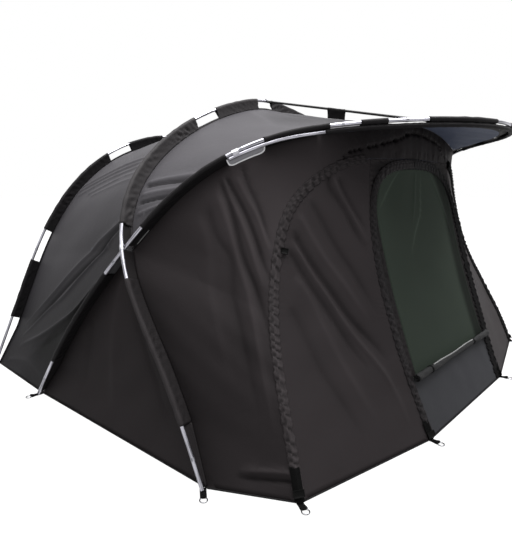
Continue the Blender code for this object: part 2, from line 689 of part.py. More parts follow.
def build_sleeves(lines, bivvy, finish):
    """Fins sewn along every seam, cut away where the poles are handled."""
    whole = np.arange(1.0, LEG_STEPS + TOP_STEPS + 1)
    leg = np.append(np.arange(1.0, LEG_STEPS), LEG_STEPS - 1.0 + TAPE_REACH)
    crown = np.append(LEG_STEPS + 1.0 - TAPE_REACH, np.arange(LEG_STEPS + 1.0, LEG_STEPS + TOP_STEPS + 1))
    fin_object("rear_sleeve", lines.rear, whole, REAR_SLEEVES, bivvy, finish.sleeve_cloth)
    fin_object("middle_sleeve", lines.middle, crown, MIDDLE_TOP_SLEEVES, bivvy, finish.sleeve_cloth)
    fin_object("front_sleeve", lines.front, crown, FRONT_TOP_SLEEVES, bivvy, finish.sleeve_cloth)
    for side, word in ((1, "right"), (-1, "left")):
        fin_object("middle_leg_sleeve_" + word, lines.middle, leg, MIDDLE_LEG_SLEEVES, bivvy,
                   finish.sleeve_cloth, side)
        fin_object("front_leg_sleeve_" + word, lines.front, leg, FRONT_LEG_SLEEVES, bivvy,
                   finish.sleeve_cloth, side)


def build_brow_pole(front, bivvy, finish):
    """Brow pole under the front arch, and its own sleeve in the brim."""
    below = front.points - np.array((0.0, 0.0, BROW_DROP))
    exposed = front.stations >= BROW_START
    tube_object("brow_pole", mirrored(below[exposed]), POLE_RADIUS, bivvy, finish.aluminium)
    covered = front.stations >= BROW_SLEEVE_START
    rings = ring_rows(below[covered], front.tangent[covered], front.inward[covered], SLEEVE_BORE, 6)
    for point in rings[-1]:
        point[0] = 0.0
    grid_object("brow_sleeve", rings, bivvy, finish.sleeve_cloth, BROW_SLEEVE_WALL, mirror=True, outward=True,
                sheet=False)


def short_route(points, station, length):
    """The stretch of a pole's route that lies half a length either side of a station."""
    before = unit(points[station - 1] - points[station]) * length / 2.0
    after = unit(points[station + 1] - points[station]) * length / 2.0
    return np.array([points[station] + before, points[station], points[station] + after])


def build_clips(lines, bivvy, finish):
    """Clips that hold the brow pole to the front arch, and clamps where the leg poles cross."""
    start = int(np.argmax(lines.front.stations >= BROW_START))
    span = lines.front.points[start:start + 2]
    half = BROW_CLIP_LENGTH / 2.0 / np.linalg.norm(span[1] - span[0])
    brow_route = np.array([blend_point(*span, BROW_CLIP_SHARE - half),
                           blend_point(*span, BROW_CLIP_SHARE + half)])
    crossing_route = short_route(lines.middle.points, LEG_STEPS, CLIP_LENGTH)
    for flip, word in ((1.0, "right"), (-1.0, "left")):
        side = np.array((flip, 1.0, 1.0))
        collar("brow_clip_" + word, brow_route * side, lines.front.inward[start] * side, BROW_CLIP_WALL,
               bivvy, finish.black_plastic)
        collar("crossing_clip_" + word, crossing_route * side, lines.middle.inward[LEG_STEPS] * side,
               CLIP_WALL, bivvy, finish.black_plastic)


def build_ridge_bar(lines, ridge, bivvy, finish):
    """Ridge bar with a hook over the middle pole, and the cloth tab that hangs the roof from it."""
    tube_object("ridge_bar", [BAR_REAR, BAR_FRONT], BAR_RADIUS, bivvy, finish.black_metal)
    top = lines.middle.points[-1]
    along = unit(np.subtract(BAR_REAR, BAR_FRONT))
    hook = [BAR_REAR + along * reach for reach in (CLEARANCE, HOOK_SHANK)]
    for angle in HOOK_ANGLES:
        turn = math.radians(angle)
        hook.append((0.0, top[1] - HOOK_BEND * math.cos(turn), top[2] + HOOK_BEND * math.sin(turn)))
    tube_object("bar_hook", hook, HOOK_RADIUS, bivvy, finish.black_metal)
    rows = []
    for y in TAB_ALONG_BAR:
        share = (y - BAR_REAR[1]) / (BAR_FRONT[1] - BAR_REAR[1])
        bar_axis = blend_point(BAR_REAR, BAR_FRONT, share)[2]
        under_bar = bar_axis - BAR_RADIUS / along[1] - CLEARANCE
        on_roof = float(np.interp(y, ridge[::-1, 1], ridge[::-1, 2])) + 2.0 * CLEARANCE
        rows.append([(0.0, y, under_bar), (0.0, y, on_roof)])
    tab = grid_object("ridge_tab", rows, bivvy, finish.sleeve_cloth, TAB_CLOTH, sheet=False)
    tab.modifiers["cloth thickness"].offset = 0.0


def peg_tab(name, corner, heading, collection, material):
    """A webbing strip flat on the ground with a wire ring through its outer end, as one solid."""
    strip_end = STRIP_LENGTH - STRIP_UNDER_HEM
    bpy.ops.mesh.primitive_cube_add(size=1.0)
    strip = bpy.context.object
    strip.scale = (STRIP_LENGTH, STRIP_WIDTH, TAB_THICKNESS)
    strip.location = (strip_end - STRIP_LENGTH / 2.0, 0.0, TAB_THICKNESS / 2.0)
    bpy.ops.object.transform_apply(location=True, rotation=False, scale=True)
    bpy.ops.mesh.primitive_torus_add(major_radius=RING_RADIUS, minor_radius=RING_WIRE, major_segments=10,
                                     minor_segments=5)
    ring = bpy.context.object
    ring.location = (strip_end + RING_RADIUS - RING_IN_STRIP, 0.0, RING_WIRE)
    bpy.ops.object.transform_apply(location=True, rotation=False, scale=False)
    join = strip.modifiers.new("ring", "BOOLEAN")
    join.operation = "UNION"
    join.object = ring
    evaluated = strip.evaluated_get(bpy.context.evaluated_depsgraph_get())
    mesh = bpy.data.meshes.new_from_object(evaluated)
    bpy.data.objects.remove(ring, do_unlink=True)
    bpy.data.objects.remove(strip, do_unlink=True)
    mesh.materials.clear()
    mesh.materials.append(material)
    tab = bpy.data.objects.new(name, mesh)
    tab.location = (corner[0], corner[1], 0.0)
    tab.rotation_euler = (0.0, 0.0, heading)
    collection.objects.link(tab)
    return tab


def build_peg_tabs(lines, rear_ground, bivvy, finish):
    """Peg tabs at the feet of the poles and at the corners of the hem."""
    spots = {"rear_foot": lines.rear.points[0], "front_pole_foot": lines.front.points[0],
             "middle_foot": lines.middle.points[0], "front_corner": lines.arch[0],
             "door_corner": lines.edge[0], "rear_hem": rear_ground[REAR_HEM_TAB_STEP]}
    for word, (x, y, z) in spots.items():
        turn = math.radians(TAB_HEADINGS[word])
        peg_tab("peg_tab_" + word + "_right", (x, y), turn, bivvy, finish.webbing)
        peg_tab("peg_tab_" + word + "_left", (-x, y), math.pi - turn, bivvy, finish.webbing)


def build():
    clear_scene()
    bivvy = new_collection("fishing_bivvy")
    finish = make_finishes()
    lines = lay_out()
    build_poles(lines, bivvy, finish)
    build_rear_roof(lines, bivvy, finish)
    build_side_panels(lines, bivvy, finish)
    ridge = build_roof_and_brim(lines, bivvy, finish)
    build_front_wall(lines, bivvy, finish)
    build_door(lines, bivvy, finish)
    build_door_roll(bivvy, finish)
    build_zip_bands(lines, bivvy, finish)
    rear_ground = build_rear_wall(lines, bivvy, finish)
    build_sleeves(lines, bivvy, finish)
    build_brow_pole(lines.front, bivvy, finish)
    build_clips(lines, bivvy, finish)
    build_ridge_bar(lines, ridge, bivvy, finish)
    build_peg_tabs(lines, rear_ground, bivvy, finish)


build()
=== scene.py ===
"""Looks of a two-person fishing bivvy: drawn tube, coated cloth, gathered zip bands, net and webbing.

Metres, +Z up, the entrance towards -Y. The photograph is taken from the -X side of the front.
"""

import math

import bmesh
import bpy
import numpy as np
from mathutils import Matrix, Vector


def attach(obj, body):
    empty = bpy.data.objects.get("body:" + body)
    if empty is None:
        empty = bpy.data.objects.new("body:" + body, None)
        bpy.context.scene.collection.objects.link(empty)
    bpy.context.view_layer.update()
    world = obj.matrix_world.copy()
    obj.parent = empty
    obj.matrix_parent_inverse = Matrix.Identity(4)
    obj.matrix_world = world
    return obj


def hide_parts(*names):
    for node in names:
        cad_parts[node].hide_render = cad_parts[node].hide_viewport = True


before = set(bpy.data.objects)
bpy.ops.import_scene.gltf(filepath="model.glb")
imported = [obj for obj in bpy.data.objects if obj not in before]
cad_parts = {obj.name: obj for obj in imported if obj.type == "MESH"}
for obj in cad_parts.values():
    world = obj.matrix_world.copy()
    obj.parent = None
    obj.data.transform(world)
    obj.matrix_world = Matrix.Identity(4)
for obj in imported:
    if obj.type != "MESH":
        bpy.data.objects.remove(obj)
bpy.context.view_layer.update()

# Camera: stands in front of the left corner at chest height, where the photograph was taken,
# with a moderate wide lens. Its heading is measured from +Y and turns towards -X.
CAMERA_PLACE = Vector((-2.449, -2.029, 1.108))
CAMERA_HEADING = math.radians(-47.012)
CAMERA_PITCH = math.radians(10.553)
IMAGE_WIDTH, IMAGE_HEIGHT = 512, 558
FOCAL_PIXELS = 491.07
SIGHT_POINT = (250.04, 272.02)

ahead = Vector((-math.sin(CAMERA_HEADING) * math.cos(CAMERA_PITCH),
                math.cos(CAMERA_HEADING) * math.cos(CAMERA_PITCH), -math.sin(CAMERA_PITCH)))
rightward = Vector((math.cos(CAMERA_HEADING), math.sin(CAMERA_HEADING), 0.0))
upward = rightward.cross(ahead)
facing_way = Matrix((rightward, upward, -ahead)).transposed().to_4x4()
camera = bpy.data.objects.new("camera", bpy.data.cameras.new("camera"))
camera.matrix_world = Matrix.Translation(CAMERA_PLACE) @ facing_way
camera.data.sensor_width = 36.0
camera.data.lens = FOCAL_PIXELS * camera.data.sensor_width / IMAGE_HEIGHT
camera.data.shift_x = (IMAGE_WIDTH / 2.0 - SIGHT_POINT[0]) / IMAGE_HEIGHT
camera.data.shift_y = (SIGHT_POINT[1] - IMAGE_HEIGHT / 2.0) / IMAGE_HEIGHT
bpy.context.scene.collection.objects.link(camera)
bpy.context.scene.camera = camera

# Studio: a plain pale floor and a white surround that brightens overhead like thin high cloud,
# with one soft lamp to the right of the entrance.
bpy.context.scene.view_settings.view_transform = "Standard"
FLOOR_SIZE = 60.0
FLOOR_DROP = 0.001
FLOOR_GLOW = 0.95
HORIZON_LIGHT = 1.0
ZENITH_LIGHT = 9.0
RISE_FROM, RISE_TO = 0.55, 1.0
LAMP_SIZE = 4.0
LAMP_POWER = 900.0
LAMP_PLACE = Vector((1.6, -1.4, 6.2))
LAMP_AIM = Vector((0.0, 0.0, 0.7))
WHITE = (1.0, 1.0, 1.0, 1.0)


def feed(tree, node, inputs):
    """Give each input of a shader node its value, or join it to the socket that feeds it."""
    for name, given in inputs.items():
        if isinstance(given, bpy.types.NodeSocket):
            tree.links.new(given, node.inputs[name])
        else:
            node.inputs[name].default_value = given


def add_node(tree, kind, output, inputs, **settings):
    """Add a shader node with its settings and inputs, and give one of its outputs."""
    node = tree.nodes.new("ShaderNode" + kind)
    for setting, value in settings.items():
        setattr(node, setting, value)
    feed(tree, node, inputs)
    return node.outputs[output]


class Finish:
    """A material while it is made: its nodes, and the shader that they feed in the end."""

    def __init__(self, name, inputs):
        self.material = bpy.data.materials.new(name)
        self.material.use_nodes = True
        self.tree = self.material.node_tree
        self.done(inputs)

    def done(self, inputs):
        feed(self.tree, self.tree.nodes["Principled BSDF"], inputs)
        return self.material

    def node(self, kind, output, inputs, **settings):
        return add_node(self.tree, kind, output, inputs, **settings)

    def place(self, space):
        return self.node("TexCoord", space, {})

    def noise(self, where, scale, detail, distortion=0.0):
        return self.node("TexNoise", "Fac",
                         {"Vector": where, "Scale": scale, "Detail": detail, "Distortion": distortion})

    def ranged(self, value, low, high):
        return self.node("MapRange", "Result", {"Value": value, "To Min": low, "To Max": high})

    def blend(self, factor, low, high):
        """A colour between two. The mix node's factor is its input 0, and its colours are 6 and 7."""
        return self.node("Mix", 2, {0: factor, 6: (*low, 1.0), 7: (*high, 1.0)}, data_type="RGBA")

    def bump(self, height, strength, distance, **under):
        return self.node("Bump", "Normal",
                         {"Height": height, "Strength": strength, "Distance": distance, **under})


floor_mesh = bpy.data.meshes.new("floor")
builder = bmesh.new()
bmesh.ops.create_grid(builder, x_segments=1, y_segments=1, size=FLOOR_SIZE / 2.0)
builder.to_mesh(floor_mesh)
builder.free()
floor = bpy.data.objects.new("floor", floor_mesh)
floor.location.z = -FLOOR_DROP
bpy.context.scene.collection.objects.link(floor)
floor_mesh.materials.append(Finish("floor paint", {
    "Base Color": (0.06, 0.06, 0.06, 1.0), "Emission Color": WHITE, "Emission Strength": FLOOR_GLOW,
    "Roughness": 0.9, "Specular IOR Level": 0.0}).material)

sky = bpy.data.worlds.new("pale surround")
sky.use_nodes = True
direction = add_node(sky.node_tree, "TexCoord", "Generated", {})
height = add_node(sky.node_tree, "SeparateXYZ", "Z", {"Vector": direction})
dome = add_node(sky.node_tree, "MapRange", "Result",
                {"Value": height, "From Min": RISE_FROM, "From Max": RISE_TO, "To Min": HORIZON_LIGHT,
                 "To Max": ZENITH_LIGHT}, interpolation_type="SMOOTHSTEP")
feed(sky.node_tree, sky.node_tree.nodes["Background"], {"Color": WHITE, "Strength": dome})
bpy.context.scene.world = sky

lamp = bpy.data.objects.new("overhead lamp", bpy.data.lights.new("overhead lamp", "AREA"))
lamp.data.shape = "DISK"
lamp.data.size = LAMP_SIZE
lamp.data.energy = LAMP_POWER
lamp.location = LAMP_PLACE
lamp.rotation_euler = (LAMP_AIM - LAMP_PLACE).to_track_quat("-Z", "Y").to_euler()
bpy.context.scene.collection.objects.link(lamp)

# Poles: three arches of drawn aluminium tube that run from foot to foot, and a short brow pole
# under the front one. Each is made of lengths that plug into one another at pinched joints.
POLE_RADIUS = 0.008
POLE_CELL = 0.02
POLE_SIDES = 20
REAR_KNOTS = [(1.420, 1.070, 0.0), (1.240, 1.062, 0.410), (1.085, 1.056, 0.745),
              (0.880, 1.050, 1.045), (0.600, 1.045, 1.275), (0.255, 1.042, 1.407), (0.0, 1.042, 1.436)]
MIDDLE_KNOTS = [(1.395, -0.815, 0.0), (1.384, -0.570, 0.405), (1.3515, -0.290, 0.840),
                (1.258, -0.202, 1.044), (1.094, -0.113, 1.198), (0.860, -0.030, 1.342),
                (0.572, 0.041, 1.468), (0.272, 0.094, 1.560), (0.0, 0.115, 1.600)]
FRONT_KNOTS = [(1.436, 0.442, 0.0), (1.428, 0.051, 0.445), (1.3325, -0.290, 0.840),
               (1.219, -0.419, 1.027), (1.068, -0.564, 1.184), (0.912, -0.700, 1.274),
               (0.753, -0.855, 1.321), (0.581, -1.036, 1.343), (0.362, -1.211, 1.355),
               (0.0, -1.307, 1.361)]
CROSSING_KNOT = 2
REAR_HUB = (0.0, 1.045, 0.55)
FRONT_HUB = (0.0, -0.10, 0.75)
FOOT_LIFT = 0.0035
FIN_HEIGHT = 0.055
FIN_AT_GROUND = 0.025
FIN_TAPER = 0.25
BROW_DROP = 0.0224
CLOSE_DROP = 0.0175
BROW_START = 1.695
BROW_LOWERS_FROM, BROW_LOWERS_OVER = 1.90, 0.20


def unit_rows(vectors):
    return vectors / np.linalg.norm(vectors, axis=1)[:, None]


def distances(points):
    return np.concatenate([[0.0], np.cumsum(np.linalg.norm(np.diff(points, axis=0), axis=1))])


def at_length(table, length, where):
    return np.stack([np.interp(where, length, table[:, axis]) for axis in range(3)], axis=-1)


def spline(knots, samples=900):
    """Dense points of a natural cubic spline through the knots, and the distance to each."""
    knots = np.asarray(knots, float)
    chord = distances(knots)
    step = np.diff(chord)
    system = np.eye(len(knots))
    load = np.zeros_like(knots)
    for i in range(1, len(knots) - 1):
        system[i, i - 1:i + 2] = step[i - 1], 2.0 * (step[i - 1] + step[i]), step[i]
        load[i] = 6.0 * ((knots[i + 1] - knots[i]) / step[i] - (knots[i] - knots[i - 1]) / step[i - 1])
    bend = np.linalg.solve(system, load)
    where = np.linspace(0.0, chord[-1], samples)
    span = np.clip(np.searchsorted(chord, where, side="right") - 1, 0, len(step) - 1)
    h = step[span][:, None]
    a = (chord[span + 1] - where)[:, None]
    b = (where - chord[span])[:, None]
    points = (bend[span] * a ** 3 + bend[span + 1] * b ** 3) / (6.0 * h)
    near_knot = (knots[span] / h - bend[span] * h / 6.0) * a
    far_knot = (knots[span + 1] / h - bend[span + 1] * h / 6.0) * b
    points += near_knot + far_knot
    return points, distances(points)


class Pole:
    """A bent tube from its +X foot over to its -X foot, with the seam that its fin is sewn into."""

    def __init__(self, knots, hub):
        self.line, self.length = spline(knots + [(-x, y, z) for x, y, z in knots[-2::-1]], 2401)
        self.whole = self.length[-1]
        self.top = self.whole / 2.0
        self.tangent_line = unit_rows(np.gradient(self.line, axis=0))
        to_hub = np.asarray(hub) - self.line
        to_hub -= (to_hub * self.tangent_line).sum(axis=1)[:, None] * self.tangent_line
        self.inward_line = unit_rows(to_hub)
        end = np.minimum(self.length, self.whole - self.length)
        fin = FIN_AT_GROUND + (FIN_HEIGHT - FIN_AT_GROUND) * np.clip(end / FIN_TAPER, 0.0, 1.0)
        self.seam_line = self.line + self.inward_line * fin[:, None]

    def point(self, s):
        return at_length(self.line, self.length, s)

    def tangent(self, s):
        return unit_rows(at_length(self.tangent_line, self.length, s))

    def inward(self, s):
        return unit_rows(at_length(self.inward_line, self.length, s))

    def seam(self, s):
        return at_length(self.seam_line, self.length, s)

    def nearest(self, place, part=slice(None)):
        """How far along the tube its nearest point to a place is, of the whole or of a part."""
        gaps = np.linalg.norm(self.line[part] - np.asarray(place), axis=1)
        return float(self.length[int(np.argmin(gaps))])

    def on_side(self, s, side):
        """A distance from the +X foot, or the same one from the -X foot."""
        return s if side > 0.0 else self.whole - s


rear = Pole(REAR_KNOTS, REAR_HUB)
middle = Pole(MIDDLE_KNOTS, FRONT_HUB)
front = Pole(FRONT_KNOTS, FRONT_HUB)
first_half = slice(len(middle.line) // 2)
middle_cross = middle.nearest(MIDDLE_KNOTS[CROSSING_KNOT], first_half)
front_cross = front.nearest(FRONT_KNOTS[CROSSING_KNOT], first_half)

# The fins of both legs are sewn into one seam where the poles cross, so both seams bend to it
CROSSING_REACH = 0.13
meeting = (middle.seam(np.array([middle_cross])) + front.seam(np.array([front_cross])))[0] / 2.0
for pole, cross in ((middle, middle_cross), (front, front_cross)):
    for at, side in ((cross, 1.0), (pole.whole - cross, -1.0)):
        pull = meeting * (side, 1.0, 1.0) - pole.seam(np.array([at]))[0]
        closeness = np.clip(1.0 - np.abs(pole.length - at) / CROSSING_REACH, 0.0, 1.0)
        pole.seam_line = pole.seam_line + pull * closeness[:, None]


def drawn_aluminium(name, shade, roughness):
    """Bright tube with drawing lines along its length, on the tube's own UV map."""
    finish = Finish(name, {"Metallic": 1.0})

    def lengthwise_noise(stretch, detail):
        drawn = finish.node("Mapping", "Vector", {"Vector": finish.place("UV"), "Scale": stretch})
        return finish.noise(drawn, 1.0, detail)
    lines = lengthwise_noise((3.0, 900.0, 1.0), 3.0)
    # Painted reflection: dark streaks along the tube in its colour stand for the dark surroundings that it
    # reflects.
    dark_reflections = finish.node("MapRange", "Result",
                          {"Value": lengthwise_noise((7.0, 120.0, 1.0), 2.0), "From Min": 0.38, "From Max": 0.60})
    return finish.done({"Roughness": finish.ranged(lines, roughness - 0.08, roughness + 0.10),
                        "Base Color": finish.blend(dark_reflections, [channel * 0.30 for channel in shade], shade),
                        "Normal": finish.bump(lines, 0.15, 0.0004)})


def link_piece(name, mesh_builder, material, replaced=()):
    """Turn a finished bmesh into a piece of the bivvy that stands for the named solids."""
    mesh = bpy.data.meshes.new(name)
    mesh_builder.to_mesh(mesh)
    mesh_builder.free()
    mesh.materials.append(material)
    piece = bpy.data.objects.new(name, mesh)
    bpy.context.scene.collection.objects.link(piece)
    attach(piece, "root")
    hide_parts(*replaced)
    return piece


def flat_grid(columns, rows):
    """A flat grid of unit size, to be laid over a shape."""
    mesh_builder = bmesh.new()
    bmesh.ops.create_grid(mesh_builder, x_segments=columns, y_segments=rows, size=0.5)
    return mesh_builder


def grid_shares(mesh_builder):
    """How far along and across its flat grid each vertex lies, from 0 to 1."""
    flat = np.array([vertex.co for vertex in mesh_builder.verts]) + 0.5
    return flat[:, 0], flat[:, 1]


def lay_out(mesh_builder, points, flat, shading=None):
    """Move a flat grid's vertices to their points, and write their places on the flat cloth and
    their painted light and shade."""
    uv = mesh_builder.loops.layers.uv.new("cloth")
    painted_shading = None if shading is None else mesh_builder.verts.layers.float.new("painted_shading")
    mesh_builder.verts.index_update()
    for vertex, point in zip(mesh_builder.verts, points):
        vertex.co = point
        if painted_shading is not None:
            vertex[painted_shading] = shading[vertex.index]
    for face in mesh_builder.faces:
        for loop in face.loops:
            loop[uv].uv = flat[loop.vert.index]


def swept(name, centres, tangents, inwards, profile, material, replaced=(), closed=True):
    """Carry a profile along a route. profile(share, turn) gives how far out and across each point
    lies."""
    rings, sides = len(centres), profile.sides
    mesh_builder = flat_grid(rings - 1, sides)
    along, around = grid_shares(mesh_builder)
    ring = np.round(along * (rings - 1)).astype(int)
    turn = np.round(around * sides) / sides
    length = distances(centres)
    inner, over = profile(length[ring] / length[-1], turn)
    across = np.cross(tangents, inwards)
    points = centres[ring] + inwards[ring] * inner[:, None] + across[ring] * over[:, None]
    lay_out(mesh_builder, points, np.column_stack([length[ring], turn * profile.girth]))
    if closed:
        bmesh.ops.remove_doubles(mesh_builder, verts=mesh_builder.verts, dist=0.00001)
        rims = [edge for edge in mesh_builder.edges if edge.is_boundary]
        bmesh.ops.holes_fill(mesh_builder, edges=rims, sides=0)
    bmesh.ops.recalc_face_normals(mesh_builder, faces=mesh_builder.faces)
    piece = link_piece(name, mesh_builder, material, replaced)
    piece.data.shade_smooth()
    return piece


class Circle:
    """A round profile whose radius may change along the route."""
    girth = 2.0 * math.pi * POLE_RADIUS

    def __init__(self, radius, sides):
        self.radius, self.sides = radius, sides

    def __call__(self, share, turn):
        angle = 2.0 * math.pi * turn
        radius = self.radius(share) if callable(self.radius) else self.radius
        return -radius * np.cos(angle), radius * np.sin(angle)


def bent_wire(name, route, radius, material, replaced=(), sides=16):
    """Round wire along a route that lies in a plane or bends gently."""
    route = np.asarray(route, float)
    tangents = unit_rows(np.gradient(route, axis=0))
    start = np.array((1.0, 0.0, 0.0)) if abs(tangents[0][0]) < 0.8 else np.array((0.0, 0.0, 1.0))
    inwards = [start - tangents[0] * float(start @ tangents[0])]
    for tangent in tangents[1:]:
        inwards.append(inwards[-1] - tangent * float(inwards[-1] @ tangent))
    return swept(name, route, tangents, unit_rows(np.array(inwards)), Circle(radius, sides), material,
                 replaced)


pole_finish = drawn_aluminium("drawn aluminium", (0.42, 0.415, 0.46), 0.28)
joint_finish = drawn_aluminium("pinched joint", (0.32, 0.32, 0.35), 0.36)


def no_drop(s):
    return np.zeros((len(s), 3))


def brow_drop(s):
    """The brow pole lies close under the front one at its ends and a little lower inside the brim."""
    inside = np.clip((np.minimum(s, front.whole - s) - BROW_LOWERS_FROM) / BROW_LOWERS_OVER, 0.0, 1.0)
    drop = CLOSE_DROP + (BROW_DROP - CLOSE_DROP) * inside ** 2 * (3.0 - 2.0 * inside)
    return drop[:, None] * (0.0, 0.0, 1.0)


def tube_along(name, pole, start, end, drop, material, replaced=(), radius=POLE_RADIUS, cell=POLE_CELL):
    """A round tube along part of a pole's route, lowered by what drop gives for each place."""
    s = np.linspace(start, end, max(int((end - start) / cell), 2) + 1)
    tube = swept(name, pole.point(s) - drop(s), pole.tangent(s), pole.inward(s), Circle(radius, POLE_SIDES),
                 material, replaced)
    tube.data.set_sharp_from_angle(angle=math.radians(50.0))


for pole_name, pole, start, drop in (("rear", rear, FOOT_LIFT, no_drop),
                                     ("middle", middle, 2.0 * FOOT_LIFT, no_drop),
                                     ("front", front, 3.0 * FOOT_LIFT, no_drop),
                                     ("brow", front, BROW_START, brow_drop)):
    tube_along(pole_name + "_pole_tube", pole, start, pole.whole - start, drop, pole_finish,
               [pole_name + "_pole"])

JOINT_RADIUS = 0.0087
JOINT_LENGTH = 0.012
REAR_JOINTS = [0.745, 1.66]
MIDDLE_JOINTS = [0.12, 0.93, 2.07]
FRONT_JOINTS = [0.16, 1.04, 1.745, 2.17, 2.43]
for pole_name, pole, joints in (("rear", rear, REAR_JOINTS), ("middle", middle, MIDDLE_JOINTS),
                                ("front", front, FRONT_JOINTS)):
    for k, place in enumerate(joints):
        for word, at in (("right", place), ("left", pole.whole - place)):
            tube_along(f"{pole_name}_pole_joint_{k + 1}_{word}", pole, at - JOINT_LENGTH / 2.0,
                       at + JOINT_LENGTH / 2.0, no_drop, joint_finish, radius=JOINT_RADIUS,
                       cell=JOINT_LENGTH / 4.0)

# Skin: coated polyester cloth, cut in panels and sewn into the seams under the poles.
# A panel is laid between its two seams, then takes the folds that pull across it.
CLOTH_CELL = 0.030
FINE_CUTS = 2
CLOTH_THICKNESS = 0.0008
LEG_STEPS = 7
TOP_STEPS = 14
WALL_TOP_STEP = 7
STEPS = LEG_STEPS + TOP_STEPS
SEAM_INSET = 0.0006
BRIM_INSET = 0.0004
PLAIN_INSET = 0.0004
HEM_HEIGHT = 0.0032
INSIDE = np.array((0.0, 0.0, 0.50))


def coated_cloth(name, colour, roughness, specular, wrinkle):
    """Plain woven cloth: fine weave, a soft crumple, and a tone that changes a little from place to place,
    times the piece's painted_shading attribute, which paints light on raised ridges and shade in deep folds
    and shaded places."""
    finish = Finish(name, {"Specular IOR Level": specular})
    threads = []
    for turn in (0.0, 90.0):
        turned = finish.node("Mapping", "Vector",
                             {"Vector": finish.place("UV"), "Rotation": (0.0, 0.0, math.radians(turn))})
        threads.append(finish.node("TexWave", "Fac", {"Vector": turned, "Scale": 260.0, "Distortion": 0.6}))
    weave = finish.bump(finish.node("Math", "Value", {0: threads[0], 1: threads[1]}, operation="MAXIMUM"),
                        0.25, 0.0003)
    crumple = finish.noise(finish.place("Object"), 16.0, 5.0, 0.8)
    patches = finish.noise(finish.place("Object"), 2.2, 6.0)
    tone = finish.blend(patches, [channel * 0.86 for channel in colour],
                        [channel * 1.16 for channel in colour])
    painted_shading = finish.node("Attribute", "Fac", {}, attribute_name="painted_shading")
    lightness = finish.node("Math", "Value", {0: painted_shading, 1: 1.0})
    toned = finish.node("VectorMath", "Vector", {"Vector": tone, "Scale": lightness}, operation="SCALE")
    return finish.done({"Normal": finish.bump(crumple, 0.35, wrinkle, Normal=weave), "Base Color": toned,
                        "Roughness": finish.ranged(patches, roughness - 0.05, roughness + 0.07)})


# Painted light: the roof cloth is given a lighter colour than the wall cloth, for the bright light that falls
# on the roof from above.
lit_roof_cloth = coated_cloth("roof cloth", (0.028, 0.0268, 0.0292), 0.50, 0.02, 0.0030)
wall_cloth = coated_cloth("wall cloth", (0.0118, 0.0102, 0.0107), 0.56, 0.02, 0.0030)
inner_cloth = coated_cloth("inner coating", (0.052, 0.060, 0.088), 0.60, 0.02, 0.0020)


def leg_share(i, low, high):
    return np.clip((i - low) / (high - low), 0.0, 1.0)


def crossed_seam(pole, cross, i):
    """Seam of a crossing arch at a step counted from its foot: the leg below the crossing, then the crown."""
    return pole.seam(leg_share(i, 0, LEG_STEPS) * cross + leg_share(i, LEG_STEPS, STEPS) * (pole.top - cross))


def middle_seam(i):
    return crossed_seam(middle, middle_cross, i)


def front_seam(i):
    return crossed_seam(front, front_cross, i)


def rear_seam(i):
    return rear.seam(i / STEPS * rear.top)


def spine_seam(i):
    return np.where((i < LEG_STEPS)[:, None], front_seam(i), middle_seam(i))


def to_hem(points, i):
    """Seat the first step of a seam on the hem line."""
    seated = np.array(points)
    first = np.clip(1.0 - i, 0.0, 1.0)
    seated[:, 2] += (HEM_HEIGHT - seated[:, 2]) * (first >= 1.0)
    return seated


def both_sides(seam):
    """The same seam followed from its -X end over the centre line to its +X end, for a share of 0 to 1."""
    def whole(share):
        j = share * 2.0 * STEPS
        i = STEPS - np.abs(j - STEPS)
        points = seam(i)
        points[:, 0] *= np.sign(j - STEPS)
        return points
    return whole


def panel_between(edge_a, edge_b, inset_a=SEAM_INSET, inset_b=SEAM_INSET, droop=0.0):
    """A panel's even shape: straight across from one edge to the other, with a droop in the middle."""
    def surface(along, over):
        a, b = edge_a(along), edge_b(along)
        span = np.linalg.norm(b - a, axis=1)[:, None]
        run = (b - a) / np.maximum(span, 1e-6)
        a = a + run * np.minimum(inset_a, 0.45 * span)
        b = b - run * np.minimum(inset_b, 0.45 * span)
        points = a + (b - a) * over[:, None]
        points[:, 2] -= droop * 4.0 * over * (1.0 - over) * span[:, 0]
        return points
    return surface


class Fold:
    """A pull in the cloth along a route of (along, over) shares of its panel, raised or sunk by
    rise metres."""

    def __init__(self, route, half_width, rise, ragged=0.0):
        self.route, self.half_width, self.rise, self.ragged = route, half_width, rise, ragged

    def far_side(self):
        """The same fold on the other half of a panel that runs over the centre line."""
        return Fold([(1.0 - along, over) for along, over in self.route], self.half_width, self.rise,
                    self.ragged)

    def line(self, surface):
        """The fold's route on the panel, in metres."""
        knots = np.array(self.route)
        dense = spline(np.column_stack([knots, np.zeros(len(knots))]), 33)[0]
        return surface(dense[:, 0], np.clip(dense[:, 1], 0.0, 1.0))


def mirrored(folds):
    """The folds of one half of a panel and the same ones on its other half."""
    return folds + [fold.far_side() for fold in folds]


def nearness(points, route):
    """How far each point lies from a route, and where along it the nearest place is, from 0 to 1."""
    length = distances(route)
    gap = np.full(len(points), np.inf)
    share = np.zeros(len(points))
    for start, end, passed in zip(route[:-1], route[1:], length):
        run = end - start
        reach = float(run @ run)
        at = np.clip((points - start) @ run / reach, 0.0, 1.0)
        away = np.linalg.norm(points - start - at[:, None] * run, axis=1)
        closer = away < gap
        gap[closer] = away[closer]
        share[closer] = (passed + at[closer] * math.sqrt(reach)) / length[-1]
    return gap, share


def folded(points, surface, folds):
    """How far the folds lift each point."""
    lift = np.zeros(len(points))
    for fold in folds:
        route = fold.line(surface)
        gap, share = nearness(points, route)
        soft = 0.35 * fold.half_width
        crest = np.exp(-(np.sqrt(gap ** 2 + soft ** 2) - soft) / (0.55 * fold.half_width))
        swell = np.clip(share * 16.0, 0.0, 1.0) * np.clip((1.0 - share) * 3.5, 0.0, 1.0) ** 0.8
        run = distances(route)[-1] * share
        uneven = 1.0 + fold.ragged * np.sin(run * 150.0 + 2.0 * np.sin(run * 47.0))
        lift += fold.rise * crest * swell * uneven
    return lift


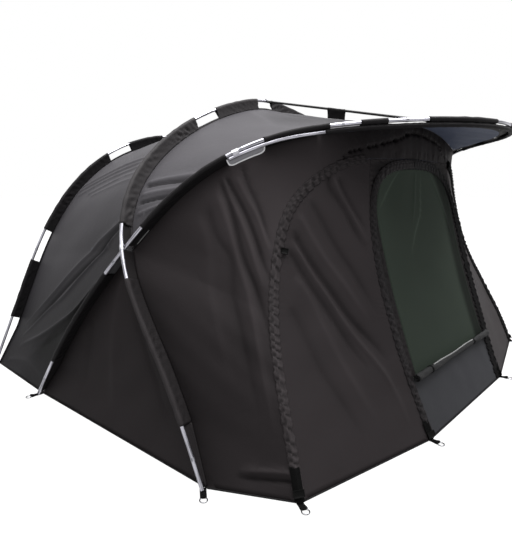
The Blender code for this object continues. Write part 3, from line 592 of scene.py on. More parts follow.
def slack(seed, rise, wave, slant=0.0, stretch=1.0):
    """Loose undulation of a panel between its seams, longer along the slant than across it."""
    draw = np.random.default_rng(seed)
    ways = draw.uniform(0.0, 2.0 * math.pi, 9)
    phases = draw.uniform(0.0, 2.0 * math.pi, 9)
    scales = draw.uniform(0.7, 1.6, 9)

    def height(x, y, width):
        u = (x * math.cos(slant) + y * math.sin(slant)) / stretch
        v = -x * math.sin(slant) + y * math.cos(slant)
        total = np.zeros_like(x)
        for way, phase, scale in zip(ways, phases, scales):
            total += np.sin((u * math.cos(way) + v * math.sin(way)) * 2.0 * math.pi * scale / wave + phase)
        return total * rise / 3.0
    return height


def puckers(seed, rise, wave, depth):
    """Short gathers that run in from the stitching along the two long edges."""
    draw = np.random.default_rng(seed)
    drift = draw.uniform(0.0, 2.0 * math.pi, 4)

    def height(x, y, width):
        wander = np.sin(x * 7.3 + drift[0]) + 0.7 * np.sin(x * 17.1 + drift[1])
        ripple = np.sin(2.0 * math.pi * x / wave + 1.6 * wander)
        strength = 0.6 + 0.4 * np.sin(x * 5.1 + drift[2]) * np.sin(x * 11.7 + drift[3])
        return rise * ripple * strength * (np.exp(-y / depth) + np.exp(-(width - y) / depth))
    return height


SEAM_BORDER = 0.040
HELD_BORDER = 0.030
HELD_FADE = 0.7
# How strongly a fold's height is painted as light on its ridge and shade in its valley, and the limits of
# that.
SHADING_PER_METRE = 38.0
MOST_HIGHLIGHT, MOST_SHADED = 0.46, -0.52
DARKEST = 0.05
SHAPE_SAMPLES = 61
NORMAL_STEP = 0.002
LEAST_CELLS = 4
FINE_HALF_WIDTHS, FINE_CELLS = 1.5, 0.4
WELD_DISTANCE = 0.00005


def thicken(piece, thickness, offset=-1.0):
    """Give a piece of cloth its thickness: inwards, or to both sides with an offset of 0."""
    wall = piece.modifiers.new("thickness", "SOLIDIFY")
    wall.thickness = thickness
    wall.offset = offset
    return wall


def cloth_panel(name, surface, folds, loose, material, replaced, cell=CLOTH_CELL,
                thickness=CLOTH_THICKNESS, inner=None, free_ends=False, facing=INSIDE, shading_map=None):
    """Lay a grid over the panel's shape, finer at its seams and folds, fold it, and give it thickness."""
    spread = np.linspace(0.0, 1.0, SHAPE_SAMPLES)
    grid_along, grid_over = [part.ravel() for part in np.meshgrid(spread, spread, indexing="ij")]
    coarse = surface(grid_along, grid_over).reshape(SHAPE_SAMPLES, SHAPE_SAMPLES, 3)
    length = float(np.linalg.norm(np.diff(coarse, axis=0), axis=2).sum(axis=0).max())
    widths = np.linalg.norm(np.diff(coarse, axis=1), axis=2).sum(axis=1)
    width = float(widths.max())
    mesh_builder = flat_grid(max(int(length / cell), LEAST_CELLS), max(int(width / cell), LEAST_CELLS))

    along, over = grid_shares(mesh_builder)
    points = surface(along, over)
    fine = np.minimum(over, 1.0 - over) * np.interp(along, spread, widths) < SEAM_BORDER
    for fold in folds:
        gap = nearness(points, fold.line(surface))[0]
        fine |= gap < FINE_HALF_WIDTHS * fold.half_width + FINE_CELLS * cell
    mesh_builder.verts.index_update()
    edges = [edge for edge in mesh_builder.edges if fine[edge.verts[0].index] and fine[edge.verts[1].index]]
    bmesh.ops.subdivide_edges(mesh_builder, edges=edges, cuts=FINE_CUTS, use_grid_fill=True)

    along, over = grid_shares(mesh_builder)
    points = surface(along, over)
    local = np.interp(along, spread, widths)
    x, y = along * length, over * local
    run_along = (surface(np.minimum(along + NORMAL_STEP, 1.0), over)
                 - surface(np.maximum(along - NORMAL_STEP, 0.0), over))
    run_over = (surface(along, np.minimum(over + NORMAL_STEP, 1.0))
                - surface(along, np.maximum(over - NORMAL_STEP, 0.0)))
    normals = np.cross(run_along, run_over)
    normals /= np.maximum(np.linalg.norm(normals, axis=1), 1e-12)[:, None]
    if float(((points - facing) * normals).sum()) < 0.0:
        normals = -normals
    lift = folded(points, surface, folds)
    # Painted light and shade: raised folds are lightened and sunk folds darkened, then the panel's own map of
    # painted light and shade is laid over that.
    shading = np.clip(lift * SHADING_PER_METRE, MOST_SHADED, MOST_HIGHLIGHT)
    if shading_map is not None:
        shading = np.maximum((1.0 + shading) * (1.0 + shading_map(along, over)), DARKEST) - 1.0
    for height in loose:
        lift += height(x, y, local)
    free = np.clip(np.minimum(over, 1.0 - over) * local / HELD_BORDER, 0.0, 1.0) ** HELD_FADE
    if not free_ends:
        free *= np.clip(np.minimum(along, 1.0 - along) * length / HELD_BORDER, 0.0, 1.0) ** HELD_FADE
    points = points + normals * (lift * free)[:, None]
    points[:, 2] = np.maximum(points[:, 2], HEM_HEIGHT)
    lay_out(mesh_builder, points, np.column_stack([x, over * width]), shading)
    bmesh.ops.remove_doubles(mesh_builder, verts=mesh_builder.verts, dist=WELD_DISTANCE)
    mesh_builder.normal_update()
    tally = sum(face.normal.dot(face.calc_center_median() - Vector(facing)) * face.calc_area()
                for face in mesh_builder.faces)
    if tally < 0.0:
        bmesh.ops.reverse_faces(mesh_builder, faces=mesh_builder.faces)
    panel = link_piece(name, mesh_builder, material, replaced)
    panel.data.shade_smooth()
    wall = thicken(panel, thickness)
    if inner is not None:
        panel.data.materials.append(inner)
        wall.material_offset = 1


# Rear roof: one wide panel from the rear arch to the spine seam, dropping to the ground on
# both sides. Its long folds pull from the crossing of the poles down to the rear hem.
REAR_ROOF_FOLDS = [
    Fold([(0.202, 0.95), (0.188, 0.813), (0.165, 0.635), (0.126, 0.484), (0.091, 0.315), (0.064, 0.149)],
         0.012, 0.0110),
    Fold([(0.197, 0.96), (0.176, 0.790), (0.150, 0.662), (0.114, 0.512), (0.082, 0.360), (0.060, 0.230)],
         0.022, -0.0150),
    Fold([(0.191, 0.97), (0.162, 0.756), (0.121, 0.646), (0.102, 0.540), (0.070, 0.340), (0.048, 0.180)],
         0.012, 0.0125),
    Fold([(0.140, 0.99), (0.134, 0.924), (0.114, 0.888), (0.090, 0.791), (0.070, 0.624), (0.036, 0.218)],
         0.016, 0.0150),
    Fold([(0.122, 0.97), (0.095, 0.900), (0.066, 0.760), (0.040, 0.450)], 0.035, -0.010),
    Fold([(0.283, 0.010), (0.298, 0.230), (0.307, 0.447), (0.309, 0.720), (0.306, 0.93)], 0.0105, 0.0098),
    Fold([(0.275, 0.010), (0.288, 0.250), (0.296, 0.480), (0.297, 0.760), (0.294, 0.95)], 0.0105, 0.0098),
    Fold([(0.266, 0.060), (0.278, 0.290), (0.285, 0.520), (0.284, 0.800), (0.280, 0.96)], 0.0105, 0.0090),
    Fold([(0.262, 0.240), (0.268, 0.425), (0.273, 0.600), (0.271, 0.850)], 0.0100, 0.0072),
    Fold([(0.255, 0.330), (0.260, 0.560), (0.260, 0.880)], 0.0100, 0.0048),
    Fold([(0.012, 0.120), (0.022, 0.420), (0.018, 0.880)], 0.022, 0.0045),
    Fold([(0.42, 0.05), (0.45, 0.45), (0.47, 0.93)], 0.030, 0.0035)]
CURVED_FOLD = ((0.030, 0.070, 0.090, 0.114, 0.134, 0.155), (0.500, 0.680, 0.805, 0.893, 0.928, 0.970))


def painted_shade_low_roof(along, over):
    """Painted shade: the rear roof is darker towards the hem, and darkest, as a painted shadow, between its
    folds and the leg.
    """
    up = 0.5 - np.abs(along - 0.5)
    low = np.clip((0.190 - up) / 0.130, 0.0, 1.0)
    mild = np.clip((0.270 - up) / 0.04, 0.0, 1.0)
    beside_folds = np.clip((over - 0.50 - 1.2 * (up - 0.10)) / 0.22, 0.0, 1.0)
    beside_folds *= np.clip((0.205 - up) / 0.03, 0.0, 1.0)
    behind_leg = np.clip((over - np.interp(up, *CURVED_FOLD) + 0.03) / 0.05, 0.0, 1.0)
    behind_leg *= np.clip((up - 0.02) / 0.04, 0.0, 1.0) * np.clip((0.165 - up) / 0.02, 0.0, 1.0)
    roof_shade = (1.0 - 0.58 * low) * (1.0 - 0.34 * beside_folds) * (1.0 - 0.88 * behind_leg)
    return roof_shade * (1.0 - 0.20 * mild) - 1.0


rear_roof_shape = panel_between(both_sides(lambda i: to_hem(rear_seam(i), i)),
                                both_sides(lambda i: to_hem(spine_seam(i), i)))
cloth_panel("rear_roof_cloth", rear_roof_shape, mirrored(REAR_ROOF_FOLDS),
            [slack(3, 0.0020, 0.42, 1.2, 2.2), puckers(4, 0.0016, 0.034, 0.03)],
            lit_roof_cloth, ["rear_roof"], inner=inner_cloth, cell=0.0255, shading_map=painted_shade_low_roof)

# Roof: the panel between the middle and front arches, drawn tight, with shallow folds at its
# left shoulder. It ends on the line where the front wall meets it.
ROOF_SAG = 0.0165
ROOF_DROOP = 0.010
WALL_TOP_Y = -0.880
ROOF_FOLDS = [
    Fold([(0.100, 0.02), (0.110, 0.363), (0.115, 0.828), (0.117, 0.95)], 0.011, -0.0125),
    Fold([(0.108, 0.02), (0.121, 0.363), (0.127, 0.828), (0.129, 0.95)], 0.012, 0.0060),
    Fold([(0.082, 0.02), (0.092, 0.40), (0.098, 0.80), (0.100, 0.95)], 0.012, 0.0075),
    Fold([(0.066, 0.02), (0.077, 0.413), (0.084, 0.815), (0.087, 0.95)], 0.009, -0.0125),
    Fold([(0.048, 0.05), (0.055, 0.300), (0.066, 0.669), (0.072, 0.90)], 0.009, 0.0070),
    Fold([(0.440, 0.03), (0.409, 0.140), (0.377, 0.301), (0.330, 0.480)], 0.035, 0.0040),
    Fold([(0.475, 0.03), (0.455, 0.300), (0.430, 0.700)], 0.040, -0.0035)]


def junction(i):
    """Where the wall meets the roof, from the front arch back under the brim to the centre line."""
    first = LEG_STEPS + WALL_TOP_STEP
    start = front_seam(np.array([float(first)]))[0][1]
    tip, back = front_seam(i), middle_seam(i)
    aim = start + (WALL_TOP_Y - start) * np.sin(np.radians(90.0 * leg_share(i, first, STEPS)))
    slide = np.clip((aim - tip[:, 1]) / np.maximum(back[:, 1] - tip[:, 1], 1e-6), 0.0, 1.0)
    points = tip + (back - tip) * slide[:, None]
    points[:, 2] -= ROOF_SAG * 4.0 * slide * (1.0 - slide)
    return points


def roof_front_edge(i):
    return np.where((i < LEG_STEPS + WALL_TOP_STEP)[:, None], front_seam(i), junction(i))


def crown_only(seam, first):
    """Follow a seam over the crown only, from its step first on one side to the same step on the other."""
    def whole(share):
        j = (2.0 * share - 1.0) * (STEPS - first)
        points = seam(STEPS - np.abs(j))
        points[:, 0] *= np.sign(j)
        return points
    return whole


roof_start = LEG_STEPS + 0.07
roof_shape = panel_between(crown_only(middle_seam, roof_start), crown_only(roof_front_edge, roof_start),
                           inset_b=BRIM_INSET, droop=ROOF_DROOP)


def crown_darker_by_brim(along, over):
    """The crown of the roof is darker towards the brim."""
    up = 0.5 - np.abs(along - 0.5)
    return -0.34 * np.clip((over - 0.05) / 0.35, 0.0, 1.0) * np.clip((up - 0.34) / 0.06, 0.0, 1.0)


cloth_panel("roof_cloth_panel", roof_shape, mirrored(ROOF_FOLDS),
            [slack(5, 0.0018, 0.34), puckers(6, 0.0012, 0.03, 0.03)],
            lit_roof_cloth, ["roof"], inner=inner_cloth, shading_map=crown_darker_by_brim)

brim_start = LEG_STEPS + WALL_TOP_STEP + 0.35
brim_shape = panel_between(crown_only(junction, brim_start), crown_only(front_seam, brim_start),
                           inset_b=BRIM_INSET)
cloth_panel("brim_cloth", brim_shape, [], [slack(7, 0.0020, 0.22), puckers(8, 0.0010, 0.03, 0.03)],
            lit_roof_cloth, ["brim"], inner=inner_cloth)

# Side panels: triangles of wall cloth between the two crossing legs, from the crossing down
# to the hem.
SIDE_FOLDS = [Fold([(0.95, 0.30), (0.70, 0.40), (0.35, 0.45), (0.10, 0.50)], 0.035, 0.0040),
              Fold([(0.97, 0.70), (0.75, 0.72), (0.45, 0.80), (0.15, 0.85)], 0.028, -0.0045),
              Fold([(0.60, 0.10), (0.35, 0.22), (0.12, 0.25)], 0.030, -0.0030)]
side_reach = LEG_STEPS - 1.0 + 0.93
for word, side in (("left", -1.0), ("right", 1.0)):
    def leg_edge(seam, side=side):
        return lambda share: to_hem(seam(share * side_reach), share * side_reach) * (side, 1.0, 1.0)
    # Painted shade: both side triangles are darkened all over, as the side walls between the legs lie in
    # shade.
    cloth_panel("side_panel_cloth_" + word, panel_between(leg_edge(front_seam), leg_edge(middle_seam)),
                SIDE_FOLDS, [slack(9, 0.0018, 0.34), puckers(10, 0.0012, 0.03, 0.03)],
                wall_cloth, ["side_panel_" + word], cell=0.036,
                shading_map=lambda along, over: np.full_like(along, -0.16))

# Front wall: wings beside the legs that run over the zipped panels and the door as a header,
# gathered under the brim.
ZIP_ARCH = [(1.207, -1.110, HEM_HEIGHT), (1.165, -1.020, 0.220), (1.075, -0.876, 0.520),
            (0.955, -0.785, 0.820), (0.862, -0.775, 0.995), (0.730, -0.800, 1.108),
            (0.600, -0.838, 1.172), (0.430, -0.885, 1.205)]
DOOR_TOP_HEIGHT = 1.215
DOOR_EDGE = [(0.478, HEM_HEIGHT), (0.514, 0.450), (0.514, 0.650), (0.496, 0.900), (0.466, 1.060),
             (0.430, 1.205)]
DOOR_SILL_Y = -1.265
DOOR_HEAD_Y = -0.885
DOOR_LEAN_POWER = 1.4
ARCH_STEPS = 17


def door_surface(x, z):
    """A point of the leaning door: it stands forward at the sill and flattens towards its head."""
    share = np.clip(1.0 - z / DOOR_TOP_HEIGHT, 0.0, 1.0)
    return np.stack([x, DOOR_HEAD_Y + (DOOR_SILL_Y - DOOR_HEAD_Y) * share ** DOOR_LEAN_POWER, z], axis=-1)


arch_line, arch_length = spline(ZIP_ARCH)
edge_knots = np.array(DOOR_EDGE)
edge_line, edge_length = spline(door_surface(edge_knots[:, 0], edge_knots[:, 1]))
corner = arch_line[-1]


def arch_seam(i):
    """Seam above the zipped side panels, continued over the door's head."""
    low = at_length(arch_line, arch_length, np.clip(i / ARCH_STEPS, 0.0, 1.0) * arch_length[-1])
    share = leg_share(i, ARCH_STEPS, STEPS)
    high = door_surface(corner[0] * (1.0 - share), corner[2] + (DOOR_TOP_HEIGHT - corner[2]) * share)
    return np.where((i <= ARCH_STEPS)[:, None], low, high)


def door_seam(i):
    """Edge of the door from its lower corner to its head."""
    point = at_length(edge_line, edge_length, np.clip(i / ARCH_STEPS, 0.0, 1.0) * edge_length[-1])
    return door_surface(point[:, 0], point[:, 2])


def wall_top(i):
    leg = np.where((i < LEG_STEPS)[:, None], to_hem(middle_seam(i), i), front_seam(i))
    return np.where((i < LEG_STEPS + WALL_TOP_STEP)[:, None], leg, junction(i))


WALL_LENGTH = 5.254
HEADER_HALF = 0.74
GATHER_RISE = 0.0018


def header_gathers(x, y, width):
    """Gathers under the brim: the cloth is drawn up on a cord along the top of the wall."""
    inside = np.clip((HEADER_HALF - np.abs(x - WALL_LENGTH / 2.0)) * 8.0, 0.0, 1.0)
    wide = np.sin(2.0 * math.pi * x / 0.085 + 2.6 * np.sin(x * 9.0))
    close = 0.5 * np.sin(2.0 * math.pi * x / 0.041 + y * 20.0)
    return GATHER_RISE * (wide + close) * inside
WALL_FOLDS = [
    Fold([(0.256, 0.10), (0.252, 0.264), (0.246, 0.468), (0.236, 0.667), (0.220, 0.833), (0.196, 0.975)],
         0.011, -0.0125),
    Fold([(0.252, 0.08), (0.248, 0.186), (0.225, 0.564), (0.196, 0.789), (0.170, 0.914), (0.140, 0.975)],
         0.013, -0.0120),
    Fold([(0.272, 0.10), (0.262, 0.427), (0.249, 0.737), (0.231, 0.938)], 0.009, -0.0085),
    Fold([(0.254, 0.10), (0.243, 0.360), (0.231, 0.610), (0.208, 0.820), (0.184, 0.950)], 0.013, 0.0085),
    Fold([(0.243, 0.15), (0.215, 0.577), (0.185, 0.779), (0.144, 0.867), (0.100, 0.872), (0.05, 0.86)],
         0.022, 0.0090),
    Fold([(0.230, 0.20), (0.203, 0.560), (0.168, 0.720), (0.125, 0.760), (0.060, 0.74)], 0.024, -0.0070),
    Fold([(0.262, 0.20), (0.253, 0.520), (0.240, 0.790), (0.222, 0.950)], 0.010, 0.0070),
    Fold([(0.215, 0.20), (0.190, 0.480), (0.150, 0.570), (0.080, 0.560)], 0.030, 0.0040),
    Fold([(0.016, 0.99), (0.013, 0.70), (0.011, 0.35)], 0.009, -0.0120),
    Fold([(0.024, 0.99), (0.020, 0.70), (0.016, 0.40)], 0.010, 0.0090)]
HEADER_CORD = Fold([(0.359, 0.960), (0.369, 0.783), (0.381, 0.670), (0.401, 0.640), (0.430, 0.556),
                    (0.470, 0.420), (0.515, 0.239), (0.548, 0.283), (0.576, 0.517), (0.600, 0.800)],
                   0.009, -0.0100, 0.9)


def wall_light_and_shade(along, over):
    """Painted shade along the seam of the leg, under the brim, under the front pole and on the low wings;
    lighter on the shoulders.
    """
    up = 0.5 - np.abs(along - 0.5)
    by_leg = -0.50 * np.exp(-over / 0.18) * np.clip((0.165 - up) / 0.03, 0.0, 1.0)
    under_brim = -0.32 * np.exp(-(over / 0.45) ** 2) * np.clip((up - 0.36) / 0.06, 0.0, 1.0)
    shoulder = 0.52 * np.clip((up - 0.19) / 0.05, 0.0, 1.0) * np.clip((0.38 - up) / 0.05, 0.0, 1.0)
    by_pole = -0.50 * np.exp(-over / 0.07) * np.clip((up - 0.21) / 0.05, 0.0, 1.0)
    low_wing = -0.24 * np.clip((0.16 - up) / 0.03, 0.0, 1.0)
    return (1.0 + by_leg) * (1.0 + under_brim) * (1.0 + shoulder) * (1.0 + low_wing) * (1.0 + by_pole) - 1.0


surround_shape = panel_between(both_sides(wall_top), both_sides(arch_seam), SEAM_INSET, PLAIN_INSET)
cloth_panel("front_surround_cloth", surround_shape,
            WALL_FOLDS + [HEADER_CORD] + [fold.far_side() for fold in WALL_FOLDS],
            [slack(11, 0.0014, 0.25), puckers(12, 0.0008, 0.055, 0.03), header_gathers],
            wall_cloth, ["front_surround"], cell=0.026, shading_map=wall_light_and_shade)

# Zipped side panels of the front: cloth that hangs between the zip arch and the door, with
# long slanting folds that pull from the top of the arch to the door's lower corner. The right one
# is pegged out tight and almost smooth.
PANEL_FOLDS = [
    Fold([(0.640, 0.100), (0.600, 0.214), (0.547, 0.364), (0.489, 0.508), (0.418, 0.642), (0.338, 0.796),
          (0.279, 0.880)], 0.020, -0.0110),
    Fold([(0.590, 0.080), (0.550, 0.187), (0.489, 0.333), (0.430, 0.456), (0.344, 0.575), (0.262, 0.689)],
         0.018, -0.0090),
    Fold([(0.615, 0.110), (0.573, 0.220), (0.518, 0.360), (0.458, 0.490), (0.380, 0.610), (0.300, 0.740),
          (0.150, 0.860), (0.056, 0.864)], 0.016, 0.0090),
    Fold([(0.850, 0.060), (0.828, 0.136), (0.775, 0.527), (0.710, 0.785), (0.660, 0.920)], 0.018, -0.0095),
    Fold([(0.860, 0.200), (0.835, 0.381), (0.784, 0.735), (0.733, 0.941)], 0.014, -0.0075),
    Fold([(0.845, 0.120), (0.805, 0.440), (0.745, 0.760), (0.690, 0.930)], 0.014, 0.0080),
    Fold([(0.740, 0.120), (0.690, 0.380), (0.620, 0.600), (0.540, 0.780), (0.440, 0.900)], 0.020, -0.0070),
    Fold([(0.690, 0.080), (0.650, 0.240), (0.590, 0.430), (0.520, 0.620), (0.420, 0.800)], 0.020, 0.0070),
    Fold([(0.520, 0.160), (0.472, 0.285), (0.361, 0.410), (0.231, 0.526), (0.104, 0.640)], 0.026, 0.0060),
    Fold([(0.440, 0.120), (0.390, 0.203), (0.284, 0.300), (0.171, 0.420), (0.071, 0.500)], 0.028, -0.0050)]
TAUT_FOLDS = [Fold([(0.590, 0.10), (0.430, 0.456), (0.262, 0.700)], 0.030, 0.0025)]
for word, side, folds, gathers in (("left", -1.0, PANEL_FOLDS, 0.0018), ("right", 1.0, TAUT_FOLDS, 0.0004)):
    def zip_edge(seam, side=side):
        return lambda share: seam(share * (ARCH_STEPS - 0.03)) * (side, 1.0, 1.0)
    # Painted light: each zipped panel is lightened towards the top of its arch, and slightly darkened low
    # down.
    cloth_panel("front_panel_cloth_" + word,
                panel_between(zip_edge(arch_seam), zip_edge(door_seam), PLAIN_INSET, PLAIN_INSET),
                folds, [slack(13, 0.0012, 0.25, 0.9, 2.0), puckers(14, gathers, 0.026, 0.03)],
                wall_cloth, ["front_panel_" + word], cell=0.024,
                shading_map=lambda along, over: -0.06 + 0.42 * np.clip((along - 0.45) / 0.3, 0.0, 1.0))

# Door: a lower panel of slate cloth, a frame of wall cloth round the window, and the fine
# mosquito net sewn into it.
WINDOW_HALF_WIDTH = 0.430
WINDOW_SILL = 0.250
WINDOW_HEAD = 1.165
WINDOW_CORNER = (0.220, 0.260)
CLEARANCE = 0.0003
FRAME_CORNER_STEP = 16.0
NET_INSET = 0.0006
door_cloth = coated_cloth("door cloth", (0.0138, 0.0140, 0.0156), 0.60, 0.03, 0.0020)
net_cloth = coated_cloth("mosquito net", (0.0095, 0.0125, 0.0098), 0.75, 0.03, 0.0010)


def door_half_width(z):
    return np.interp(z, edge_line[:, 2], edge_line[:, 0]) - PLAIN_INSET


def lower_shape(along, over):
    z = HEM_HEIGHT + (WINDOW_SILL - CLEARANCE - HEM_HEIGHT) * over
    return door_surface(door_half_width(z) * (2.0 * along - 1.0), z)


def window_edge(i):
    """Outline of the window from its lower corner up and over to the centre line."""
    turn_x = WINDOW_HALF_WIDTH - WINDOW_CORNER[0]
    turn_z = WINDOW_HEAD - WINDOW_CORNER[1]
    route = [(WINDOW_HALF_WIDTH, 0.0, WINDOW_SILL + (turn_z - WINDOW_SILL) * share)
             for share in (0.0, 0.25, 0.5, 0.75)]
    for angle in np.radians(np.arange(0.0, 91.0, 7.5)):
        route.append((turn_x + WINDOW_CORNER[0] * math.cos(angle), 0.0,
                      turn_z + WINDOW_CORNER[1] * math.sin(angle)))
    route.append((0.0, 0.0, WINDOW_HEAD))
    line = np.array(route)
    length = distances(line)
    point = at_length(line, length, i / STEPS * length[-1])
    return door_surface(point[:, 0], np.maximum(point[:, 2], WINDOW_SILL + CLEARANCE))


def frame_outer(i):
    top = corner[2] - PLAIN_INSET
    z = WINDOW_SILL + CLEARANCE + (top - WINDOW_SILL) * leg_share(i, 0.0, FRAME_CORNER_STEP)
    share = leg_share(i, FRAME_CORNER_STEP, STEPS)
    x = door_half_width(np.full_like(z, top)) * (1.0 - share)
    beside = i < FRAME_CORNER_STEP
    x = np.where(beside, door_half_width(z), x)
    return door_surface(x, np.where(beside, z, top + (DOOR_TOP_HEIGHT - corner[2]) * share))


def net_shape(along, over):
    z = WINDOW_SILL + CLEARANCE + (WINDOW_HEAD - NET_INSET - WINDOW_SILL - CLEARANCE) * over
    above = np.clip((z - (WINDOW_HEAD - WINDOW_CORNER[1])) / WINDOW_CORNER[1], 0.0, 1.0)
    half = WINDOW_HALF_WIDTH - WINDOW_CORNER[0] * (1.0 - np.sqrt(1.0 - above ** 2)) - NET_INSET
    return door_surface(half * (2.0 * along - 1.0), z)


# Painted shade: the lower panel is darkened almost to black along its top under the rolled flap, and in a
# wedge down its +X edge beside the zip band.
cloth_panel("door_lower_cloth", lower_shape, [], [slack(15, 0.0012, 0.2), puckers(16, 0.0010, 0.03, 0.02)],
            door_cloth, ["door_lower_panel"],
            shading_map=lambda along, over: -0.94 * np.maximum(
                np.clip((over - 0.90) / 0.06, 0.0, 1.0),
                np.clip((along - 0.97 + 0.09 * over) / 0.05, 0.0, 1.0) * np.clip(over * 3.0, 0.0, 1.0)))
# Painted shade: the frame is darkened towards the window, to about half at its inner edge.
cloth_panel("door_frame_cloth", panel_between(both_sides(frame_outer), both_sides(window_edge), 0.0, 0.0), [],
            [puckers(17, 0.0030, 0.030, 0.06), slack(21, 0.0016, 0.05)], wall_cloth,
            ["door_frame"], cell=0.021,
            shading_map=lambda along, over: -0.05 - 0.45 * np.clip((over - 0.15) / 0.30, 0.0, 1.0))
NET_FOLDS = [Fold([(0.540, 0.99), (0.480, 0.86), (0.400, 0.70)], 0.010, 0.0030),
             Fold([(0.800, 0.98), (0.860, 0.80), (0.930, 0.60)], 0.010, 0.0030)]
NET_CREASES = [Fold([(0.221, 0.99), (0.124, 0.889), (0.030, 0.800)], 0.004, 0.0),
               Fold([(0.640, 0.995), (0.579, 0.886), (0.519, 0.756), (0.402, 0.646), (0.309, 0.545)],
                    0.004, 0.0)]
NET_SHADE_FROM, NET_SHADE_FULL = 0.855, 0.905
CREASE_HIGHLIGHT = 1.5


def net_light_and_shade(along, over):
    """The net is painted lighter near its head and with highlights along its creases, and painted with
    shade down its right edge."""
    # How far into the painted shade down the net's right edge each point lies.
    facing = np.clip((along - NET_SHADE_FROM) / (NET_SHADE_FULL - NET_SHADE_FROM), 0.0, 1.0)
    net = 1.08 + 1.10 * over ** 2
    points = net_shape(along, over)
    for crease in NET_CREASES:
        gap, share = nearness(points, crease.line(net_shape))
        net += CREASE_HIGHLIGHT * np.exp(-(gap / crease.half_width) ** 2) * np.sin(math.pi * share) ** 0.5
    return net * (1.0 - 0.72 * facing) - 1.0


cloth_panel("door_net", net_shape, NET_FOLDS + NET_CREASES, [slack(18, 0.0012, 0.35)], net_cloth,
            ["door_mesh"], cell=0.018, shading_map=net_light_and_shade)

# Rear wall: one plain panel of wall cloth, sewn to the rear arch and fanning down to a bowed hem,
# with short puckers that run in from its stitching.
REAR_HEM = [(1.395, 1.085, HEM_HEIGHT), (1.050, 1.182, HEM_HEIGHT), (0.600, 1.249, HEM_HEIGHT),
            (0.0, 1.276, HEM_HEIGHT)]
REAR_HEM_TUCK = 0.02
REAR_FAN_POWER = 1.5
hem_line, hem_length = spline(REAR_HEM)


def rear_ground(i):
    share = 1.0 - (1.0 - i / STEPS) ** REAR_FAN_POWER
    points = at_length(hem_line, hem_length, share * hem_length[-1])
    points[:, 0] -= REAR_HEM_TUCK * np.clip(1.0 - i, 0.0, 1.0)
    return points


REAR_WALL_FOLDS = [Fold([(0.10, 0.10), (0.17, 0.50), (0.21, 0.93)], 0.024, 0.0070),
                   Fold([(0.13, 0.08), (0.20, 0.50), (0.25, 0.94)], 0.020, -0.0070),
                   Fold([(0.24, 0.08), (0.30, 0.50), (0.33, 0.92)], 0.030, 0.0060),
                   Fold([(0.40, 0.06), (0.42, 0.45), (0.44, 0.80)], 0.030, 0.0050)]
cloth_panel("rear_wall_cloth",
            panel_between(both_sides(rear_ground), both_sides(lambda i: to_hem(rear_seam(i), i)),
                          inset_a=0.0),
            mirrored(REAR_WALL_FOLDS), [slack(19, 0.0025, 0.45, 1.57, 2.0), puckers(20, 0.0012, 0.045, 0.03)],
            wall_cloth, ["rear_wall"], cell=0.042)

# Sleeves: each is a strip of black cloth folded round its pole, and both edges are sewn into the
# seam of the skin, so that it stands up as a fin. It is cut away where the pole is handled.
SLEEVE_RADIUS = 0.0106
SLEEVE_CELL = 0.009
SLEEVE_COLUMNS = 26
TUBE_SHARE = 0.30
TUBE_TURN = math.radians(100.0)
FOOT_HALF_WIDTH = 0.0010
FOOT_NARROWING = 1.7
BULGE = 0.07
SWING_WAVES = 8
SWING_LOW, SWING_HIGH = (9.0, -2.2, 0.0), (34.0, 0.4, 2.0 * math.pi)
SWING_SCALE = 2.2
SLEEVE_SEED, LEG_SLEEVE_SEED, SEED_STEP = 31, 71, 7
# Painted highlight along the ridge of each sleeve's tube, strong on the middle pole's legs, and painted light
# and shade in its crumples.
RIDGE_HIGHLIGHT, LEG_RIDGE_HIGHLIGHT = 0.10, 0.90
CRUMPLE_LIGHT_AND_SHADE = 0.10
CRUMPLE_LEAST, CRUMPLE_SWELL = 0.55, 0.45
SWELL_RATES = (6.0, 13.0)
BULGE_RATE, BULGE_WANDER = 47.0, 21.0
HIGHLIGHT_REACH = 1.4
CRUMPLE_FROM, CRUMPLE_FULLNESS = 0.12, 0.7
sleeve_cloth = coated_cloth("sleeve cloth", (0.0058, 0.0054, 0.0058), 0.62, 0.04, 0.0020)
ridge_sleeve_cloth = coated_cloth("ridge sleeve cloth", (0.0150, 0.0140, 0.0146), 0.58, 0.03, 0.0030)
leg_sleeve_cloth = coated_cloth("leg sleeve cloth", (0.0074, 0.0066, 0.0069), 0.58, 0.03, 0.0020)
REAR_SLEEVES = [(0.304, 0.676), (0.885, 1.565), (1.755, 2.054)]
MIDDLE_LEG_SLEEVE = (0.244, 0.856)
MIDDLE_SLEEVES = [(1.100, 1.964), (2.172, 2.592)]
APEX_REACH = 0.048
FRONT_LEG_SLEEVE = (0.325, 0.969)
FRONT_SLEEVES = [(1.234, 1.681), (1.846, 2.118), (2.243, 2.352), (2.523, 2.908)]


